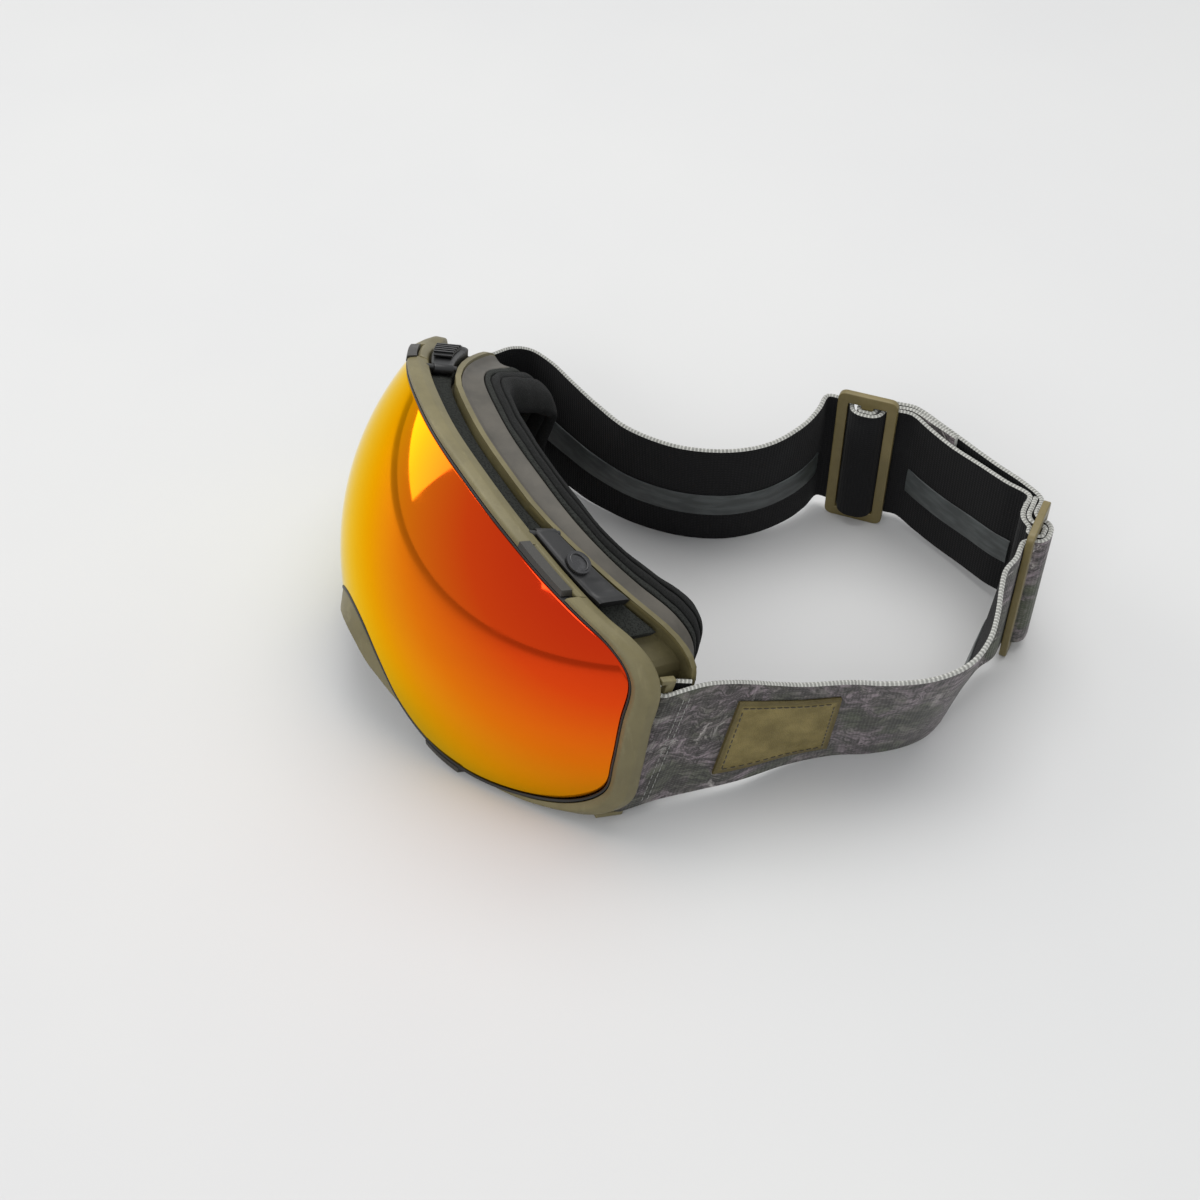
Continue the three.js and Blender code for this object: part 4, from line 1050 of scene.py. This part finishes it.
class Band:
    """A strap's plan route with its lean and height along it."""

    def __init__(self, points, keys):
        self.line = catmull(points, False, lambda span: max(3, math.ceil(span / 1.6)))
        step = np.linalg.norm(np.diff(self.line, axis=0), axis=1)
        self.run = np.concatenate([[0], np.cumsum(step)])
        self.length = self.run[-1]
        self.tangent = unit(np.gradient(self.line, axis=0))
        self.left = np.stack([-self.tangent[:, 1], self.tangent[:, 0]], 1)
        at = np.array([self.where(k[0]) for k in keys])
        order = np.argsort(at)
        pick = lambda j: np.interp(self.run, at[order], np.array([k[j] for k in keys], float)[order])
        self.lean = self.even(pick(1))
        self.foot = self.even(pick(2))

    def where(self, spot):
        gaps = np.linalg.norm(self.line - np.array(spot, float), axis=1)
        return self.run[int(gaps.argmin())]

    def even(self, values):
        """Smooths a set of values over about two centimetres of run."""
        grid = np.arange(0, self.length, 1.0)
        v = np.interp(grid, self.run, values)
        kernel = np.hanning(23)
        v = np.convolve(np.pad(v, 11, mode="edge"), kernel / kernel.sum(), "valid")
        return np.interp(self.run, grid, v)

    def surface(self, runs, share, off):
        """Row-frame points at those runs, a share of the width up, off to the left."""
        pick = lambda a: np.stack([np.interp(runs, self.run, a[:, i]) for i in range(a.shape[1])], 1)
        line, left = pick(self.line), unit(pick(self.left))
        lean = np.interp(runs, self.run, self.lean)
        foot = np.interp(runs, self.run, self.foot)
        rise = np.sqrt(STRAP_WIDTH**2 - lean**2)
        tilt = lean / STRAP_WIDTH
        side = lean * (share - 0.5) + off * np.sqrt(1 - tilt**2)
        x = line[:, 0] + left[:, 0] * side
        y = line[:, 1] + left[:, 1] * side
        z = foot + rise * share - off * tilt
        upright = smooth(ANCHOR_Y + LOOP_RUN, ANCHOR_Y + 4 * LOOP_RUN, y)
        y = y + (1 - upright) * math.tan(LEAN) * (z - STRAP_MID)
        return (np.stack([x, y, z], 1) + np.array([CENTRE[0], CENTRE[1], 0])) * MM


def runs_between(band, a, b, pitch=1.5):
    inside = band.run[(band.run > a + 0.2) & (band.run < b - 0.2)]
    extra = np.arange(a, b, pitch)
    every = np.unique(np.concatenate([[a, b], inside, extra]))
    keep = [every[0]]
    for v in every[1:]:
        if v - keep[-1] > 0.25:
            keep.append(v)
    return np.array(keep)


def band_mesh(name, band, a, b, shares, outer, inner, materials, start=0.0, bulge=0.0, pitch=1.5):
    """A closed strip between two offsets from the route. Slots: outer, inner, edge."""
    runs = runs_between(band, a, b, pitch)
    low, high = shares[0], shares[-1]
    verts, uv = [], []
    crown = lambda t: bulge * (1 - (2 * t - 1) ** 2)
    width = STRAP_WIDTH * MM
    rows = [(s, outer + crown((s - low) / (high - low))) for s in shares]
    mid = (outer + inner) / 2
    rim = abs(outer - inner) * 0.28 / STRAP_WIDTH
    rows.append((high + rim, mid))
    rows += [(s, inner - crown((s - low) / (high - low)) * 0.3) for s in shares[::-1]]
    rows.append((low - rim, mid))
    for s, off in rows:
        verts.append(band.surface(runs, s, off))
        uv.append(np.stack([(runs - a + start) * MM, np.full(len(runs), (s - low) * width)], 1))
    verts, uv = np.array(verts), np.array(uv)
    count, around = len(runs), len(rows)
    faces, slots = [], []
    n = len(shares)
    for i in range(count - 1):
        for j in range(around):
            m = (j + 1) % around
            faces.append((j * count + i, j * count + i + 1, m * count + i + 1, m * count + i))
            on_edge = j in (n - 1, n, 2 * n, 2 * n + 1)
            slots.append(2 if on_edge else 0 if j < n - 1 else 1)
    for i in (0, count - 1):
        faces.append(tuple(j * count + i for j in range(around)))
        slots.append(2)
    obj = add_mesh(name, verts.reshape(-1, 3), faces, materials, slots, uv.reshape(-1, 2))
    edited(obj, lambda bm: bmesh.ops.recalc_face_normals(bm, faces=bm.faces))
    return crisp(obj, 50)


def stitch_row(name, spots, normals, along, material, length=1.7, thick=0.32):
    """Short rounded thread stitches at spots, in metres, as one piece."""
    verts, faces = [], []
    sides = 6
    for spot, normal, way in zip(spots, normals, along):
        side = unit(np.cross(normal, way))
        rings = [(-0.5, 0.35), (-0.42, 0.8), (-0.2, 1.0), (0.2, 1.0), (0.42, 0.8), (0.5, 0.35)]
        base = len(verts)
        for t, fat in rings:
            dip = 0.25 * (1 - (2 * t) ** 2)
            centre = spot + way * t * length * MM + normal * (dip * thick) * MM
            for k in range(sides):
                a = 2 * math.pi * k / sides
                round_it = side * math.cos(a) + normal * math.sin(a) * 0.8
                verts.append(centre + round_it * thick * 0.5 * fat * MM)
        faces += [tuple(base + v for v in quad) for quad in rolled(len(rings), sides)]
        faces.append(tuple(base + k for k in range(sides))[::-1])
        faces.append(tuple(base + (len(rings) - 1) * sides + k for k in range(sides)))
    return face_out(add_mesh(name, verts, faces, [material]))


def seam_across(name, band, run, off, material, rows=1, gap=2.0):
    """Upright rows of stitches across a strap, on the side that off points to."""
    spots, normals, along = [], [], []
    for r in range(rows):
        at = np.array([run + r * gap])
        steps = np.arange(0.06, 0.95, 2.3 / STRAP_WIDTH)
        for s in steps:
            spot = band.surface(at, s, off)[0]
            away = unit(band.surface(at, s, off + math.copysign(1, off))[0] - spot)
            up = unit(band.surface(at, s + 0.02, off)[0] - spot)
            spots.append(spot)
            normals.append(away)
            along.append(up)
    return stitch_row(name, spots, normals, along, material)


def make_straps():
    left = Band([*anchor_loop(1), *LEFT_MID, *NEAR_SLIDER.weave(), *LEFT_BACK,
                 *FAR_SLIDER.hook(), *LEFT_HEM], [
        ((ANCHOR_X + 1, ANCHOR_Y + 11), 0.0, 4.9), ((89.8, -2), -3.0, 3.4), ((91.2, 12), -8.0, 1.4),
        ((94.2, 27), -10.0, 0.6), ((101.6, 50), -12.0, 0.6), ((101, 60), -12.0, 0.8),
        ((90.5, 76.5), -9.0, 1.2), ((79.6, 90), -2.0, 3.0), (NEAR_SLIDER.weave()[0], 0.0, STRAP_FOOT),
        (NEAR_SLIDER.weave()[-1], 0.0, STRAP_FOOT), ((36, 116.5), 0.0, 2.4),
        (FAR_SLIDER.hook()[0], 0.0, STRAP_FOOT), (FAR_SLIDER.hook()[-1], 0.0, STRAP_FOOT)])
    right = Band([*anchor_loop(-1), *RIGHT_MID, *FAR_SLIDER.weave(), *RIGHT_BACK,
                  *NEAR_SLIDER.hook()], [
        ((-ANCHOR_X - 1, ANCHOR_Y + 11), 0.0, 4.9), ((-75, 0), 1.0, 3.4), ((-49, 8), 0.0, 1.6),
        ((-34, 15), -4.0, 0.8), ((-20, 27), -6.0, 0.6), ((-9, 54), -6.0, 0.8),
        ((-14, 76), -2.0, 2.6), (FAR_SLIDER.weave()[0], 0.0, STRAP_FOOT),
        (FAR_SLIDER.weave()[-1], 0.0, STRAP_FOOT), ((22, 108.3), -1.0, 2.4),
        (NEAR_SLIDER.hook()[0], 0.0, STRAP_FOOT), (NEAR_SLIDER.hook()[-1], 0.0, STRAP_FOOT)])
    shares = np.linspace(0.0, 1.0, 15)
    half = STRAP_T / 2
    for name, band, sign, node in (("strap_left_web", left, -1, "strap_left"),
                                   ("strap_right_web", right, 1, "strap_right")):
        web = band_mesh(name, band, 0.0, band.length, shares, sign * half, -sign * half,
                        [PRINT, BLACK_WEB, EDGE_WEB], start=0.0 if sign < 0 else 400.0, pitch=1.4)
        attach(web, "frame")
        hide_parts(node)
    grip_off = half + 0.05
    loop_l, loop_r = left.where(anchor_loop(1)[-1]), right.where(anchor_loop(-1)[-1])
    grips = (
        ("grip_left", left, 1, loop_l + 22, left.where(NEAR_SLIDER.weave()[0]) - 4),
        ("grip_right", right, -1, loop_r + 22, right.where(FAR_SLIDER.weave()[0]) - 4),
        ("grip_back", right, -1, right.where(FAR_SLIDER.weave()[-1]) + 3,
         right.where(NEAR_SLIDER.hook()[0]) - 3),
    )
    for name, band, side, a, b in grips:
        bead = band_mesh(name + "_bead", band, a, b, np.linspace(0.30, 0.515, 7),
                         side * (grip_off + 0.45), side * (grip_off - 0.02),
                         [SILICONE] * 3, bulge=side * 0.25)
        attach(bead, "frame")
        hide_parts(name)
    make_patch(left, loop_l - LOOP_RUN + 25)
    back = left.where(FAR_SLIDER.hook()[0])
    for name, band, run, off in (
            ("hem_seam_left", left, back - 16, -half - 0.05),
            ("hem_seam_right", right, right.where(NEAR_SLIDER.hook()[0]) - 1, -half - 0.05),
            ("anchor_seam_left", left, loop_l - 7, -half - 0.05),
            ("anchor_seam_right", right, loop_r - 7, half + 0.05)):
        seam = seam_across(name, band, run, off, GREY_THREAD, 2)
        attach(seam, "frame")


STITCH_PITCH = 2.35


def make_patch(band, start):
    """Leather patch with a sewn border and plain pressed lines."""
    length, height, low = 35.0, 31.0, 8.0
    half = STRAP_T / 2
    a, b = low / STRAP_WIDTH, (low + height) / STRAP_WIDTH
    inner, outer = -(half + 0.05), -(half + 1.25)
    patch = band_mesh("strap_patch_leather", band, start, start + length, np.linspace(a, b, 27),
                      outer, inner, [LEATHER] * 3, bulge=-0.15, pitch=1.0)
    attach(patch, "frame")
    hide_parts("strap_patch")
    spots, normals, along = [], [], []
    inset = 2.0
    face = outer - 0.12

    def sew(run, share, step):
        spot = band.surface(np.array([run]), share, face)[0]
        away = unit(band.surface(np.array([run]), share, face - 1)[0] - spot)
        nxt = band.surface(np.array([run + step[0]]), share + step[1], face)[0]
        spots.append(spot)
        normals.append(away)
        along.append(unit(nxt - spot))
    lo, hi = a + inset / STRAP_WIDTH, b - inset / STRAP_WIDTH
    for run in np.arange(start + inset + 0.8, start + length - inset, STITCH_PITCH):
        sew(run, lo, (0.4, 0))
        sew(run, hi, (0.4, 0))
    for share in np.arange(lo + 0.02, hi - 0.01, STITCH_PITCH / STRAP_WIDTH):
        sew(start + inset, share, (0, 0.01))
        sew(start + length - inset, share, (0, 0.01))
    border = stitch_row("patch_stitching", spots, normals, along, DARK_THREAD, 1.75, 0.42)
    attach(border, "frame")


# ---------------------------------------------------------------- strap hardware
def rounded_plate(name, slider, top, material):
    """Slider plate: three uprights and two rails with soft edges."""
    half = PITCH + BAR / 2
    rail = 3.4
    outer = corner_path(-half, 0.05, half, top - 0.05, 2.4, 6)
    holes = [corner_path(BAR / 2, rail, BAR / 2 + 6.0, top - rail, 0.5, 3),
             corner_path(-BAR / 2 - 6.0, rail, -BAR / 2, top - rail, 0.5, 3)]
    curve = bpy.data.curves.new(name, "CURVE")
    curve.dimensions = "2D"
    curve.fill_mode = "BOTH"
    curve.extrude = 0.85 * MM
    curve.bevel_depth = 0.35 * MM
    curve.bevel_resolution = 3
    for ring in [outer, *holes]:
        inset = 0.35 if ring is outer else -0.35
        spline = curve.splines.new("POLY")
        spline.points.add(len(ring) - 1)
        cx = sum(p[0] for p in ring) / len(ring)
        cy = sum(p[1] for p in ring) / len(ring)
        for point, (x, y) in zip(spline.points, ring):
            point.co = ((x - math.copysign(inset, x - cx)) * MM,
                        (y - math.copysign(inset, y - cy)) * MM, 0, 1)
        spline.use_cyclic_u = True
    holder = bpy.data.objects.new(name, curve)
    scene.collection.objects.link(holder)
    bpy.context.view_layer.update()
    mesh = bpy.data.meshes.new_from_object(holder.evaluated_get(bpy.context.evaluated_depsgraph_get()))
    bpy.data.objects.remove(holder)
    obj = bpy.data.objects.new(name, mesh)
    scene.collection.objects.link(obj)
    for v in mesh.vertices:
        u, z, n = v.co
        xy = np.array([slider.x + CENTRE[0], slider.y + CENTRE[1]]) * MM + u * slider.u - n * slider.n
        v.co = (xy[0], xy[1], z)
    mesh.materials.clear()
    mesh.materials.append(material)
    face_out(obj)
    mesh.polygons.foreach_set("use_smooth", [True] * len(mesh.polygons))
    return crisp(obj, 35)


def corner_path(x0, y0, x1, y1, r, steps):
    """A rectangle's outline with rounded corners."""
    path = []
    corners = ((x1 - r, y0 + r, -90), (x1 - r, y1 - r, 0), (x0 + r, y1 - r, 90), (x0 + r, y0 + r, 180))
    for cx, cy, a in corners:
        for k in range(steps + 1):
            t = math.radians(a + 90 * k / steps)
            path.append((cx + r * math.cos(t), cy + r * math.sin(t)))
    return path


def make_hardware():
    for name, node, slider in (("slider_left_plate", "slider_left", NEAR_SLIDER),
                               ("slider_right_plate", "slider_right", FAR_SLIDER)):
        _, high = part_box(node)
        plate = rounded_plate(name, slider, high.z / MM, SLIDER_TAN)
        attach(plate, "frame")
        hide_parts(node)


def make_floor():
    size = 6.0
    floor = add_mesh("table_top", [(-size, -size, 0), (size, -size, 0), (size, size, 0), (-size, size, 0)],
                     [(0, 1, 2, 3)], [table_top()], flat=True)


make_camera()
make_studio()
make_floor()
make_lens()
make_frame()
make_face_side()
make_levers()
make_straps()
make_hardware()
